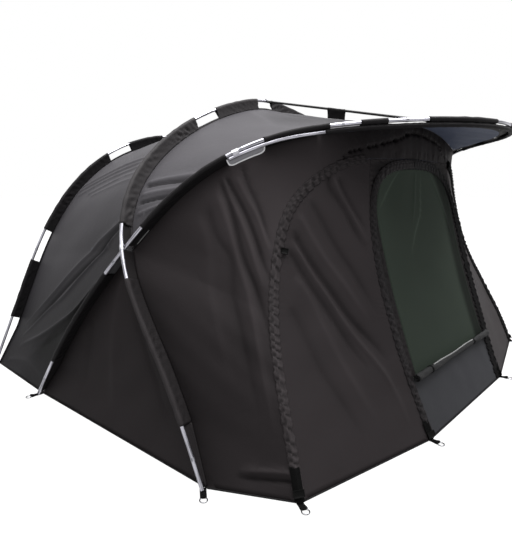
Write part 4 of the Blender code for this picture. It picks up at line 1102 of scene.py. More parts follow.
def sleeve(name, pole, start, end, side, cloth, replaced, seed, crumple, rubbing_and_highlight):
    """One stretch of sleeve from start to end, in metres along its pole, on the given side."""
    ends = sorted((pole.on_side(start, side), pole.on_side(end, side)))
    run = ends[1] - ends[0]
    mesh_builder = flat_grid(max(int(run / SLEEVE_CELL), LEAST_CELLS), SLEEVE_COLUMNS)
    along, over = grid_shares(mesh_builder)
    s = ends[0] + along * run
    layer = np.where(over < 0.5, -1.0, 1.0)
    down = np.abs(over - 0.5) * 2.0
    centre, inward = pole.point(s), pole.inward(s)
    across = np.cross(pole.tangent(s), inward)
    angle = TUBE_TURN * np.clip(down / TUBE_SHARE, 0.0, 1.0)
    web = np.clip((down - TUBE_SHARE) / (1.0 - TUBE_SHARE), 0.0, 1.0)
    draw = np.random.default_rng(seed)
    swing = np.zeros_like(s)
    for rate, slant, phase in draw.uniform(SWING_LOW, SWING_HIGH, (SWING_WAVES, 3)):
        swing += np.sin(2.0 * math.pi * (rate * s * side + slant * web) + phase) / SWING_SCALE
    drift = draw.uniform(0.0, 2.0 * math.pi, 3)
    swell = np.sin(s * SWELL_RATES[0] + drift[0])
    strength = CRUMPLE_LEAST + CRUMPLE_SWELL * swell * np.sin(s * SWELL_RATES[1] + drift[1])
    fade_turn = math.pi * np.clip(CRUMPLE_FROM + (1.0 - CRUMPLE_FROM) * web, 0.0, 1.0)
    fade = np.sin(fade_turn) ** CRUMPLE_FULLNESS
    shift = crumple * swing * strength * fade
    bulge_turn = s * BULGE_RATE + 2.0 * np.sin(s * BULGE_WANDER) + drift[2]
    bulge = 1.0 + BULGE * np.sin(bulge_turn) * (1.0 - web)
    # Painted highlight on the tube's ridge, and painted light and shade with the crumples.
    shading = rubbing_and_highlight * np.clip(HIGHLIGHT_REACH - down / TUBE_SHARE, 0.0, 1.0)
    shading = shading + CRUMPLE_LIGHT_AND_SHADE * swing * strength * fade
    tube = centre + SLEEVE_RADIUS * bulge[:, None] * (-inward * np.cos(angle)[:, None]
                                                      + across * (layer * np.sin(angle))[:, None])
    top = centre + inward * (-SLEEVE_RADIUS * math.cos(TUBE_TURN))
    reach = top + (pole.seam(s) - top) * web[:, None]
    spare = SLEEVE_RADIUS * bulge * math.sin(TUBE_TURN) - FOOT_HALF_WIDTH
    half = FOOT_HALF_WIDTH + spare * (1.0 - web) ** FOOT_NARROWING
    fin = reach + across * (layer * half + shift)[:, None]
    girth = 2.0 * (FIN_HEIGHT + SLEEVE_RADIUS)
    lay_out(mesh_builder, np.where((down <= TUBE_SHARE)[:, None], tube, fin),
            np.column_stack([along * run, over * girth]), shading)
    mesh_builder.normal_update()
    highest = max(mesh_builder.faces, key=lambda face: face.calc_center_median().z)
    middle_place = highest.calc_center_median()
    axis_place = Vector(pole.point(np.array([pole.nearest(middle_place)]))[0])
    if highest.normal.dot(middle_place - axis_place) < 0.0:
        bmesh.ops.reverse_faces(mesh_builder, faces=mesh_builder.faces)
    piece = link_piece(name, mesh_builder, cloth, replaced)
    piece.data.shade_smooth()
    thicken(piece, CLOTH_THICKNESS, offset=0.0)


class Ribbon:
    """Flat tape with rounded edges that stands up from the seam."""
    sides = 10

    def __init__(self, half_height, half_width):
        self.half_height, self.half_width = half_height, half_width
        self.girth = 4.0 * half_height

    def __call__(self, share, turn):
        angle = 2.0 * math.pi * turn
        return -self.half_height * np.cos(angle), self.half_width * np.sin(angle)


TAPE_HALF_HEIGHT = 0.0055
TAPE_HALF_WIDTH = 0.0014
TAPE_LIFT = 0.0035
TAPE_CELL = 0.012
TAPE_START = 0.012


def seam_tape(name, pole, start, end, cloth, replaced):
    """Bound seam that shows where the sleeve is cut away."""
    s = np.linspace(start, end, int((end - start) / TAPE_CELL) + 1)
    inward = pole.inward(s)
    centres = pole.seam(s) - inward * TAPE_LIFT
    tangents = unit_rows(np.gradient(centres, axis=0))
    tape = swept(name, centres, tangents, inward, Ribbon(TAPE_HALF_HEIGHT, TAPE_HALF_WIDTH), cloth,
                 replaced)
    float(distances(centres)[-1])


for pole_name, pole, stretches, cloth, crumple in (
        ("rear", rear, REAR_SLEEVES, sleeve_cloth, 0.0018),
        ("middle", middle, MIDDLE_SLEEVES, ridge_sleeve_cloth, 0.0026),
        ("front", front, FRONT_SLEEVES, sleeve_cloth, 0.0018)):
    for k, (start, end) in enumerate(stretches):
        for word, side in (("right", 1.0), ("left", -1.0)):
            reach = APEX_REACH if pole is middle and k == 1 and side > 0.0 else 0.0
            sleeve(f"{pole_name}_sleeve_{k + 1}_{word}", pole, start, end + reach, side, cloth,
                   [pole_name + "_sleeve"], SLEEVE_SEED + SEED_STEP * k + len(pole_name), crumple,
                   RIDGE_HIGHLIGHT)
for pole_name, pole, (start, end), cloth, rubbing_and_highlight in (
        ("middle", middle, MIDDLE_LEG_SLEEVE, leg_sleeve_cloth, LEG_RIDGE_HIGHLIGHT),
        ("front", front, FRONT_LEG_SLEEVE, sleeve_cloth, RIDGE_HIGHLIGHT)):
    for word, side in (("right", 1.0), ("left", -1.0)):
        sleeve(f"{pole_name}_leg_sleeve_{word}_cloth", pole, start, end, side, cloth,
               [f"{pole_name}_leg_sleeve_{word}"], LEG_SLEEVE_SEED + len(pole_name), 0.0014, rubbing_and_highlight)

seam_tape("rear_seam_tape", rear, TAPE_START, rear.whole - TAPE_START, sleeve_cloth, ["rear_sleeve"])
for word, first in (("right", TAPE_START), ("left", middle.whole - MIDDLE_LEG_SLEEVE[0])):
    seam_tape("middle_foot_tape_" + word, middle, first, first + MIDDLE_LEG_SLEEVE[0] - TAPE_START,
              leg_sleeve_cloth, ["middle_leg_sleeve_" + word])
seam_tape("middle_seam_tape", middle, middle_cross, middle.whole - middle_cross, ridge_sleeve_cloth,
          ["middle_sleeve"])
seam_tape("front_seam_tape", front, front_cross, front.whole - front_cross, sleeve_cloth, ["front_sleeve"])

# Crossing patches: where the poles cross and are bare, the skin is doubled with short webs of
# cloth from the tube down to the seam. At the brow pole's ends a pale pocket with a white rim.
CROSS_CLEAR = 0.012
RIM_RADIUS = 0.0032
POCKET_TUCK = 0.0105
POCKET_DEPTH = 0.033
FOOT_PATCH_START = 0.030
RIM_TUCK = 0.004
POCKET_SAMPLES = 9
patch_cloth = coated_cloth("grey patch", (0.0420, 0.0415, 0.0440), 0.55, 0.03, 0.0020)
pocket_cloth = coated_cloth("pale pocket", (0.1500, 0.1480, 0.1600), 0.55, 0.10, 0.0020)
rim_cloth = coated_cloth("white rim", (0.4600, 0.4550, 0.4700), 0.50, 0.20, 0.0010)
grey_rim_cloth = coated_cloth("grey rim", (0.0900, 0.0900, 0.0900), 0.50, 0.10, 0.0010)


def web_patch(name, pole, start, end, side, cloth):
    """A web of cloth from the bare tube to the seam, between two places on the pole."""
    ends = pole.on_side(start, side), pole.on_side(end, side)

    def web_shape(along, over):
        s = ends[0] + (ends[1] - ends[0]) * along
        top = pole.point(s) + pole.inward(s) * POLE_RADIUS * 0.9
        return top + (pole.seam(s) - top) * over[:, None]
    cloth_panel(name, web_shape, [], [slack(45, 0.0008, 0.06)], cloth, [], cell=0.012,
                facing=pole.point(np.array([pole.top]))[0] * (0.0, 1.0, 0.5))


def patch_rim(name, route, cloth):
    """Narrow binding sewn along an edge of a patch."""
    line, length = spline(route, 61)
    rim = bent_wire(name, line, RIM_RADIUS, cloth, sides=10)


for word, side in (("right", 1.0), ("left", -1.0)):
    for place, pole, start, end, cloth in (
            ("crossing_patch_high_back_", middle, middle_cross + CROSS_CLEAR, MIDDLE_SLEEVES[0][0],
             sleeve_cloth),
            ("crossing_patch_high_front_", front, front_cross + CROSS_CLEAR, FRONT_SLEEVES[0][0],
             sleeve_cloth),
            ("crossing_patch_low_front_", front, FRONT_LEG_SLEEVE[1], front_cross - CROSS_CLEAR, patch_cloth),
            ("crossing_patch_low_back_", middle, MIDDLE_LEG_SLEEVE[1], middle_cross - CROSS_CLEAR,
             leg_sleeve_cloth),
            ("leg_foot_patch_back_", middle, FOOT_PATCH_START, MIDDLE_LEG_SLEEVE[0], leg_sleeve_cloth),
            ("leg_foot_patch_front_", front, FOOT_PATCH_START, FRONT_LEG_SLEEVE[0], leg_sleeve_cloth)):
        web_patch(place + word, pole, start, end, side, cloth)
    rim_s = front.on_side(np.linspace(front_cross + 0.03, FRONT_SLEEVES[0][0], 5), side)
    patch_rim("crossing_rim_" + word, front.seam(rim_s) - front.inward(rim_s) * RIM_TUCK, grey_rim_cloth)
    pocket_s = front.on_side(
        np.linspace(FRONT_SLEEVES[0][1] - 0.004, FRONT_SLEEVES[1][0] + 0.002, POCKET_SAMPLES), side)

    def pocket_shape(along, over):
        s = pocket_s[0] + (pocket_s[-1] - pocket_s[0]) * (along + 0.10 * over * (1.0 - along))
        tucked = POCKET_TUCK + 0.010 * over
        return (front.point(s) + front.inward(s) * tucked[:, None]
                - (over * POCKET_DEPTH)[:, None] * (0.0, 0.0, 1.0))
    cloth_panel("brow_pocket_" + word, pocket_shape, [], [slack(46, 0.0010, 0.05)], pocket_cloth,
                [], cell=0.012, facing=np.array((0.0, -0.6, 1.0)))
    ones = np.ones(POCKET_SAMPLES)
    foot = pocket_shape(np.linspace(0.0, 1.0, POCKET_SAMPLES), ones) - np.array((0.0, 0.0, RIM_RADIUS))
    start_edge = pocket_shape(np.zeros(POCKET_SAMPLES), np.linspace(0.1, 1.0, POCKET_SAMPLES))
    end_edge = pocket_shape(ones, np.linspace(1.0, 0.1, POCKET_SAMPLES))
    patch_rim("brow_pocket_rim_" + word, [*start_edge[:-2], *foot[1:-1], *end_edge[2:]], rim_cloth)

# Brow sleeve: a narrow tube of the sleeve cloth sewn into the front of the brim, round the brow
# pole only, so that it ripples a little along its length.
BROW_SLEEVE_START = 2.100
BROW_SLEEVE_RADIUS = 0.0104
BROW_RIPPLE = 0.0006


def rippled(share):
    return BROW_SLEEVE_RADIUS + BROW_RIPPLE * np.sin(share * 260.0 + 2.0 * np.sin(share * 71.0))


brow_s = np.linspace(BROW_SLEEVE_START, front.whole - BROW_SLEEVE_START, 151)
brow_centres = front.point(brow_s) - brow_drop(brow_s)
brow_sleeve = swept("brow_sleeve_cloth", brow_centres, front.tangent(brow_s), front.inward(brow_s),
                    Circle(rippled, 18), sleeve_cloth, ["brow_sleeve"], closed=False)
thicken(brow_sleeve, CLOTH_THICKNESS)
float(distances(brow_centres)[-1])

# Gathered bands: strips of cloth drawn up on elastic and stitched down over the zips, so that they
# stand in close ruffles. The right ones are wider, and darker with painted shade.
BAND_STEP = 0.0045
BAND_COLUMNS = 14
BAND_SAMPLES = 400
BAND_CLEAR = 0.0012
RUFFLE_WAVE = 0.038
RUFFLE_LEAN = 0.0025
SLOW_WANDER, QUICK_WANDER = (1.1, 11.0), (0.8, 31.0)
HALVES_APART = 1.3
LOBE_SLANT, LOBE_FULLNESS = 0.9, 0.6
FINE_SHARE = 0.30
SIDE_STITCH, SIDE_STITCH_WIDTH = 0.52, 0.13
MIDDLE_STITCH_PULL, MIDDLE_STITCH_WIDTH = 0.7, 0.10
LEAST_LIFT, STITCH_PULL = 0.22, 0.55
EVEN_GATHER, STITCH_SHADE = 0.74, 0.10
DARKEST, LIGHTEST = -0.50, 0.40
EDGE_WAVE, EDGE_RIPPLE = (0.10, 2.0), (0.07, 5.1)
HEAD_FROM, HEAD_OVER = 14.5, 3.5
band_cloth = coated_cloth("band cloth", (0.0128, 0.0111, 0.0116), 0.60, 0.04, 0.0020)


def sided(seam, side):
    """A seam of the +X side as it lies on the given side."""
    return lambda i: seam(i) * (side, 1.0, 1.0)


def gathered_band(name, edges, last, half_a, half_b, rise, replaced, side, seed, cloth, painted_head_light=0.0):
    """A band over a seam: edges are the seam and the two panels beside it, and half_b is how far the
    band reaches onto the second one at each station."""
    seam_at, side_a, side_b = [sided(edge, side) for edge in edges]
    stations = np.linspace(BAND_START, last, BAND_SAMPLES)
    line = seam_at(stations)
    length = distances(line)
    mesh_builder = flat_grid(int(length[-1] / BAND_STEP), BAND_COLUMNS)
    along, over = grid_shares(mesh_builder)
    x = along * length[-1]
    station = np.interp(x, length, stations)
    seam = seam_at(station)
    run_a = unit_rows(side_a(station) - seam)
    run_b = unit_rows(side_b(station) - seam)
    v = over * 2.0 - 1.0
    drift = np.random.default_rng(seed).uniform(0.0, 2.0 * math.pi, 8)
    wander = SLOW_WANDER[0] * np.sin(x * SLOW_WANDER[1] + drift[0])
    wander = wander + QUICK_WANDER[0] * np.sin(x * QUICK_WANDER[1] + drift[1])
    phase = math.pi * x / RUFFLE_WAVE + wander
    halves = np.where(v < 0.0, 0.0, HALVES_APART)
    lobes = np.abs(np.sin(phase + halves + LOBE_SLANT * np.abs(v))) ** LOBE_FULLNESS
    fine = np.sin(3.1 * phase + 3.0 * v + drift[2]) * np.sin(1.3 * phase + drift[3])
    stitched = np.exp(-((np.abs(v) - SIDE_STITCH) / SIDE_STITCH_WIDTH) ** 2)
    stitched = stitched + MIDDLE_STITCH_PULL * np.exp(-(v / MIDDLE_STITCH_WIDTH) ** 2)
    crown = (1.0 - v ** 4) ** 0.8
    gather = lobes + FINE_SHARE * fine
    lift = rise * crown * (LEAST_LIFT + (1.0 - LEAST_LIFT) * gather * (1.0 - STITCH_PULL * stitched))
    # Painted light and shade: the tops of the ruffles are lightened, and the gathers and the stitch lines
    # darkened.
    shading = np.clip((gather - EVEN_GATHER) * crown - STITCH_SHADE * stitched, DARKEST, LIGHTEST)
    # Painted light: the band is lightened towards the door's head.
    shading = (1.0 + shading) * (1.0 + painted_head_light * np.clip((station - HEAD_FROM) / HEAD_OVER, 0.0, 1.0)) - 1.0
    edge = 1.0 + EDGE_WAVE[0] * np.sin(EDGE_WAVE[1] * phase + drift[4])
    edge = edge + EDGE_RIPPLE[0] * np.sin(EDGE_RIPPLE[1] * phase + drift[5])
    reach_a, reach_b = half_a * edge, half_b(station) * edge
    points = seam + np.where((v < 0.0)[:, None], run_a * (-v * reach_a)[:, None],
                             run_b * (v * reach_b)[:, None])
    tangent = unit_rows(at_length(np.gradient(line, axis=0), length, x))
    normal = unit_rows(np.cross(tangent, run_b - run_a))
    normal = np.where((normal[:, 1] > 0.0)[:, None], -normal, normal)
    points = points + normal * (lift + BAND_CLEAR)[:, None]
    points = points + tangent * (RUFFLE_LEAN * np.sin(2.0 * phase + drift[6]) * crown)[:, None]
    girth = half_a + float(half_b(stations).mean())
    lay_out(mesh_builder, points, np.column_stack([x, over * girth]), shading)
    mesh_builder.normal_update()
    if sum(face.normal.y for face in mesh_builder.faces) > 0.0:
        bmesh.ops.reverse_faces(mesh_builder, faces=mesh_builder.faces)
    band = link_piece(name, mesh_builder, cloth, replaced)
    band.data.shade_smooth()
    thicken(band, CLOTH_THICKNESS)


DOOR_BAND_ROUTE = [(0.472, HEM_HEIGHT), (0.508, 0.450), (0.508, 0.650), (0.490, 0.880), (0.455, 1.010),
                   (0.385, 1.112), (0.265, 1.172), (0.120, 1.194), (0.0, 1.200)]
BAND_GUIDE = 0.05
BAND_START = 0.05
BAND_TANGENT_STEP = 0.05
band_knots = np.array(DOOR_BAND_ROUTE)
band_line, band_length = spline(door_surface(band_knots[:, 0], band_knots[:, 1]))


def door_band_seam(i):
    """The door's zip: up beside the window, round its corner and over its head."""
    point = at_length(band_line, band_length, i / STEPS * band_length[-1])
    return door_surface(point[:, 0], point[:, 2])


def beside_band(i, reach):
    """Points of the door beside its zip, outwards for a positive reach."""
    seam = door_band_seam(i)
    step = (door_band_seam(np.minimum(i + BAND_TANGENT_STEP, STEPS))
            - door_band_seam(np.maximum(i - BAND_TANGENT_STEP, 0.0)))
    across = unit_rows(np.stack([step[:, 2], np.zeros(len(i)), -step[:, 0]], axis=1)) * reach
    return door_surface(seam[:, 0] + across[:, 0], seam[:, 2] + across[:, 2])


def inside_door(i):
    return beside_band(i, -BAND_GUIDE)


def outside_door(i):
    """Low down the band lies on the zipped side panel, higher up on the frame of the door."""
    seam = door_band_seam(i)
    z = seam[:, 2]
    arch_side = np.stack([np.interp(z, arch_line[:, 2], arch_line[:, 0]),
                          np.interp(z, arch_line[:, 2], arch_line[:, 1]), z], axis=1)
    low = seam + unit_rows(arch_side - seam) * BAND_GUIDE
    return low + (beside_band(i, BAND_GUIDE) - low) * np.clip((z - 0.85) / 0.15, 0.0, 1.0)[:, None]


door_band_cloth = coated_cloth("door band cloth", (0.0076, 0.0068, 0.0072), 0.62, 0.03, 0.0020)
shaded_band_cloth = coated_cloth("shaded band cloth", (0.0022, 0.0021, 0.0022), 0.66, 0.02, 0.0020)
ARCH_BAND_END = ARCH_STEPS - 0.35
DOOR_INNER_HALF = 0.034
ZIP_EDGES = (arch_seam, wall_top, door_seam)
DOOR_ZIP_EDGES = (door_band_seam, outside_door, inside_door)
for word, side, zip_cloth, door_zip_cloth, zip_half, zip_rise, wider, painted_head_light in (
        ("left", -1.0, band_cloth, door_band_cloth, 0.024, 0.0055, 0.0, 1.0),
        ("right", 1.0, shaded_band_cloth, shaded_band_cloth, 0.045, 0.0150, 0.026, 5.6)):
    gathered_band("zip_band_" + word + "_cloth", ZIP_EDGES, ARCH_BAND_END, 0.022,
                  lambda i: np.full_like(i, zip_half), zip_rise, ["zip_band_" + word], side, 101, zip_cloth)
    gathered_band("door_band_" + word, DOOR_ZIP_EDGES, STEPS, 0.016,
                  lambda i: DOOR_INNER_HALF + wider * np.clip((14.0 - i) / 4.0, 0.0, 1.0), 0.0080,
                  ["door_zip_band"], side, 103, door_zip_cloth, painted_head_light)

# Toggles: a moulded toggle half way up each side zip, and a ladder buckle on black webbing at
# the foot of each zip, where the corners are drawn down to their pegs.
TOGGLE_STATION = 9.6
TOGGLE_SIZE = (0.024, 0.030, 0.009)
TOGGLE_RAISE = 0.010
TOGGLE_SHIFT = (0.034, -0.010, 0.012)
BUCKLE_SIZE = (0.026, 0.040, 0.006)
BUCKLE_RAISE = 0.0035
STRAP_HALF_WIDTH = 0.021
STRAP_RAISE = 0.010
STRAP_START = 0.02
STRAP_THICKNESS = 0.0018


def handled_finish(name, colour, roughness, metallic, specular=0.15):
    """Moulded, coated or plated fitting with light handling marks."""
    finish = Finish(name, {"Metallic": metallic, "Specular IOR Level": specular})
    marks = finish.noise(finish.place("Object"), 60.0, 6.0)
    rubbing_and_highlight = [channel * 2.6 + 0.001 for channel in colour]
    return finish.done({"Base Color": finish.blend(marks, colour, rubbing_and_highlight),
                        "Roughness": finish.ranged(marks, roughness - 0.1, roughness + 0.15)})


black_moulding = handled_finish("black moulding", (0.0008, 0.0008, 0.0008), 0.55, 0.0, 0.03)
woven = Finish("woven webbing", {"Roughness": 0.75, "Specular IOR Level": 0.0})
chevrons = woven.node("TexWave", "Fac", {"Vector": woven.place("UV"), "Scale": 190.0, "Distortion": 1.5},
                      bands_direction="DIAGONAL")
webbing = woven.done({"Normal": woven.bump(chevrons, 0.6, 0.0008),
                      "Base Color": woven.blend(chevrons, (0.0010, 0.0010, 0.0010),
                                                (0.0045, 0.0045, 0.0045))})


def moulded_block(name, place, along, outward, size):
    """A small moulded block with rounded edges, lying along a direction and facing outward."""
    mesh_builder = bmesh.new()
    bmesh.ops.create_cube(mesh_builder, size=1.0)
    bmesh.ops.scale(mesh_builder, vec=size, verts=mesh_builder.verts)
    bmesh.ops.inset_region(mesh_builder, faces=[max(mesh_builder.faces, key=lambda f: f.normal.z)],
                           thickness=min(size[:2]) * 0.28, depth=-size[2] * 0.45)
    bmesh.ops.bevel(mesh_builder, geom=list(mesh_builder.edges), offset=min(size) * 0.16,
                    offset_type="OFFSET", segments=2, profile=0.5, affect="EDGES", material=-1)
    x_axis = Vector(along).normalized()
    z_axis = (Vector(outward) - x_axis * Vector(outward).dot(x_axis)).normalized()
    turned = Matrix((x_axis, z_axis.cross(x_axis), z_axis)).transposed().to_4x4()
    bmesh.ops.transform(mesh_builder, matrix=Matrix.Translation(Vector(place)) @ turned,
                        verts=mesh_builder.verts)
    block = link_piece(name, mesh_builder, black_moulding)
    block.data.shade_smooth()
    block.data.set_sharp_from_angle(angle=math.radians(40.0))


def away_from_door(seam):
    """The way that the cloth faces at the foot of a seam."""
    return unit_rows(seam * (1.0, 1.0, 0.0) - (0.0, 0.3, 0.0))


def corner_strap(name, edges, last, side):
    """Webbing sewn up the foot of a band, with its ladder buckle."""
    seam_at, side_a, side_b = [sided(edge, side) for edge in edges]
    run = last - STRAP_START

    def strap_shape(along, over):
        station = STRAP_START + run * along
        seam = seam_at(station)
        run_a = unit_rows(side_a(station) - seam)
        run_b = unit_rows(side_b(station) - seam)
        v = (over * 2.0 - 1.0)[:, None]
        spread_out = np.where(v < 0.0, run_a * -v, run_b * v) * STRAP_HALF_WIDTH
        return seam + spread_out + away_from_door(seam) * (STRAP_RAISE - 0.002 * np.abs(v))
    cloth_panel(name + "_strap", strap_shape, [], [slack(51, 0.0006, 0.03)], webbing, [],
                cell=0.009, thickness=STRAP_THICKNESS)
    mid = seam_at(np.array([STRAP_START + run * 0.30, STRAP_START + run * 0.40]))
    outward = away_from_door(mid[:1])[0]
    moulded_block(name + "_buckle", mid[0] + outward * (STRAP_RAISE + BUCKLE_RAISE), mid[1] - mid[0], outward,
                  BUCKLE_SIZE)


for word, side in (("left", -1.0), ("right", 1.0)):
    toggle_seam = sided(arch_seam, side)(np.array([TOGGLE_STATION, TOGGLE_STATION + 0.3]))
    toggle_out = np.array((side * 0.75, -0.66, 0.0))
    toggle_shift = (-side * TOGGLE_SHIFT[0], *TOGGLE_SHIFT[1:])
    moulded_block("zip_toggle_" + word, toggle_seam[0] + toggle_out * TOGGLE_RAISE + toggle_shift,
                  toggle_seam[1] - toggle_seam[0], toggle_out, TOGGLE_SIZE)
    corner_strap("zip_foot_" + word, ZIP_EDGES, 1.25, side)
    corner_strap("door_foot_" + word, DOOR_ZIP_EDGES, 1.1, side)

# Storm flap of the window: door cloth rolled down in loose turns on the lower panel, with a pale
# bound edge, and held up by two elastic loops.
ROLL_RADIUS = 0.0180
ROLL_CORE = 0.0050
ROLL_TURNS = 3.3
LOOP_SHARES = (0.16, 0.76)
LOOP_RADII = (0.0168, 0.0128)
LOOP_HALF_THICKNESS, LOOP_HALF_WIDTH = 0.0016, 0.0060
FLAP_EDGE = (-0.290, 0.210)
ROLL_REST_RADIUS = 0.019
ROLL_DROP = 0.002
ROLL_LEFT, ROLL_RIGHT = -0.466, 0.444
contact = WINDOW_SILL - ROLL_DROP
near = np.array((contact - 0.01, contact + 0.01))
door_lean = float(np.diff(door_surface(np.zeros(2), near)[:, 1])[0] / 0.02)
stand_off = (ROLL_REST_RADIUS + CLEARANCE) / math.hypot(1.0, door_lean)
roll_place = door_surface(np.zeros(1), np.array([contact]))[0] + (0.0, -stand_off, stand_off * door_lean)
roll_x = np.linspace(ROLL_LEFT, ROLL_RIGHT, 81)
roll_centres = np.column_stack([roll_x, np.tile(roll_place[1:], (len(roll_x), 1))])
roll_tangents = np.tile((1.0, 0.0, 0.0), (len(roll_x), 1))
roll_inwards = np.tile((0.0, 1.0, 0.0), (len(roll_x), 1))


class Roll:
    """The rolled flap's outline: a spiral of loosely wound cloth, waisted under its two loops."""
    sides = 66
    girth = math.pi * ROLL_TURNS * (ROLL_RADIUS + ROLL_CORE)

    def __call__(self, share, turn):
        angle = 2.0 * math.pi * ROLL_TURNS * turn
        waist = 1.0 - 0.15 * sum(np.exp(-((share - at) / 0.018) ** 2) for at in LOOP_SHARES)
        dents = 0.08 * np.sin(share * 46.0 + 3.0 * angle) * np.sin(share * 19.0 + angle)
        dents = dents + 0.04 * np.sin(share * 91.0)
        slim = 1.0 - 0.30 * np.clip((share - 0.22) / 0.2, 0.0, 1.0) * np.clip((0.84 - share) / 0.06, 0.0, 1.0)
        radius = (ROLL_CORE + (ROLL_RADIUS - ROLL_CORE) * turn) * (0.97 + dents * turn) * waist * slim
        return -radius * np.cos(angle), radius * np.sin(angle)


roll_cloth = coated_cloth("roll cloth", (0.0088, 0.0088, 0.0090), 0.62, 0.04, 0.0030)
roll = swept("door_roll_cloth", roll_centres, roll_tangents, roll_inwards, Roll(), roll_cloth,
             ["door_roll"], closed=False)
thicken(roll, CLOTH_THICKNESS)
strap_finish = coated_cloth("elastic loop", (0.0015, 0.0015, 0.0015), 0.7, 0.02, 0.0006)
for k, (share, radius) in enumerate(zip(LOOP_SHARES, LOOP_RADII)):
    turn = np.linspace(0.0, 2.0 * math.pi, 41)
    flat_ring = np.zeros_like(turn)
    outward = np.stack([flat_ring, np.cos(turn), np.sin(turn)], axis=1)
    along_ring = np.stack([flat_ring, -np.sin(turn), np.cos(turn)], axis=1)
    ring = (ROLL_LEFT + (ROLL_RIGHT - ROLL_LEFT) * share, *roll_place[1:]) + radius * outward
    loop = swept(f"roll_loop_{k + 1}", ring, along_ring, -outward,
                 Ribbon(LOOP_HALF_THICKNESS, LOOP_HALF_WIDTH), strap_finish)

flap_share = np.linspace(0.0, 1.0, 41)
flap_x = FLAP_EDGE[0] + (FLAP_EDGE[1] - FLAP_EDGE[0]) * flap_share
flap_rise = 0.0145 + 0.0022 * np.sin(flap_share * 9.0 + 0.5)
flap_route = np.stack([flap_x, np.full_like(flap_x, roll_place[1] - 0.002), roll_place[2] + flap_rise],
                      axis=1)
flap_edge = bent_wire("roll_flap_edge", flap_route, RIM_RADIUS, grey_rim_cloth, sides=10)
float(distances(flap_route)[-1])

# Ridge bar: a black coated bar from the middle pole to the brim's front seam, with a bent wire
# hook at its rear end and a cloth tab that the roof hangs from.
BAR_RADIUS = 0.0066
BAR_REAR = np.array((0.0, 0.0975, 1.5967))
BAR_FRONT = np.array((0.0, -1.225, 1.3475))
HOOK_RADIUS = 0.0035
HOOK_BEND = 0.0122

black_coating = handled_finish("black coating", (0.003, 0.003, 0.003), 0.50, 0.0)
bright_steel = handled_finish("bright steel", (0.09, 0.09, 0.094), 0.25, 1.0)
bar_route = BAR_REAR + (BAR_FRONT - BAR_REAR) * np.linspace(0.0, 1.0, 41)[:, None]
bent_wire("ridge_bar_tube", bar_route, BAR_RADIUS, black_coating, ["ridge_bar"])
middle_top = middle.point(np.array([middle.top]))[0]
hook_turn = np.radians(np.linspace(15.0, 160.0, 19))
hook_bend = np.stack([np.zeros_like(hook_turn), middle_top[1] - HOOK_BEND * np.cos(hook_turn),
                      middle_top[2] + HOOK_BEND * np.sin(hook_turn)], axis=1)
bar_way = (BAR_REAR - BAR_FRONT) / np.linalg.norm(BAR_REAR - BAR_FRONT)
hook_route = spline([BAR_REAR + bar_way * 0.0003, BAR_REAR + bar_way * 0.003, *hook_bend[2::4]], 41)[0]
bent_wire("bar_hook_wire", hook_route, HOOK_RADIUS, bright_steel, ["bar_hook"])

TAB_ENDS = (-0.355, -0.470)
TAB_CLEAR = 0.0012
TAB_ROUND = 0.3
TAB_SEWN = 0.001
RIDGE_START_Y = 0.112


def bar_axis_height(y):
    return BAR_REAR[2] + (y - BAR_REAR[1]) / (BAR_FRONT[1] - BAR_REAR[1]) * (BAR_FRONT[2] - BAR_REAR[2])


def tab_shape(along, over):
    """A cloth loop over the bar: down one side, round the bar and down the other to the roof."""
    y = TAB_ENDS[0] + (TAB_ENDS[1] - TAB_ENDS[0]) * along
    ridge = roof_shape(np.full_like(y, 0.5), (y - RIDGE_START_Y) / (WALL_TOP_Y - RIDGE_START_Y))
    side = np.where(over < 0.5, -1.0, 1.0)
    down = np.abs(over - 0.5) * 2.0
    angle = np.radians(100.0) * np.clip(down / TAB_ROUND, 0.0, 1.0)
    web = np.clip((down - TAB_ROUND) / (1.0 - TAB_ROUND), 0.0, 1.0)
    radius = BAR_RADIUS + TAB_CLEAR
    high = bar_axis_height(y) + radius * np.cos(angle)
    z = np.where(down <= TAB_ROUND, high, high + (ridge[:, 2] + TAB_SEWN - high) * web)
    hanging = TAB_CLEAR + (radius - TAB_CLEAR) * (1.0 - web) ** 2
    x = np.where(down <= TAB_ROUND, radius * np.sin(angle), hanging)
    return np.stack([side * x, y, z], axis=-1)


cloth_panel("ridge_tab_cloth", tab_shape, [], [slack(41, 0.0006, 0.05)], sleeve_cloth,
            ["ridge_tab"], cell=0.009, free_ends=True, facing=np.array((0.0, -0.41, 1.45)))

# Clips: small plated clips that hold the brow pole to the front arch, and that hold the poles
# together where they cross.
plated = handled_finish("plated clip", (0.20, 0.20, 0.215), 0.32, 1.0)
for name in ("brow_clip_left", "brow_clip_right", "crossing_clip_left", "crossing_clip_right"):
    clip = bpy.data.objects[name]
    clip.data.materials.clear()
    clip.data.materials.append(plated)

# Peg tabs: doubled webbing sewn under the hem, folded round a plated steel ring that takes the
# peg, and stitched back on top of itself.
STRIP_LENGTH = 0.060
STRIP_WIDTH = 0.025
STRIP_OUT = 0.035
RING_RADIUS = 0.014
RING_WIRE = 0.003
RING_IN_STRIP = 0.004
WEBBING_THICKNESS = 0.0020
STRIP_STEPS = 60
STRIP_COLUMNS = 6
PEG_TABS = {"rear_foot": ((1.420, 1.070), 35.0), "front_pole_foot": ((1.436, 0.442), 0.0),
            "middle_foot": ((1.395, -0.815), -50.0), "front_corner": ((1.207, -1.110), -60.0),
            "door_corner": ((0.478, -1.265), -80.0),
            "rear_hem": (tuple(rear_ground(np.array([12.0]))[0][:2]), 80.0)}


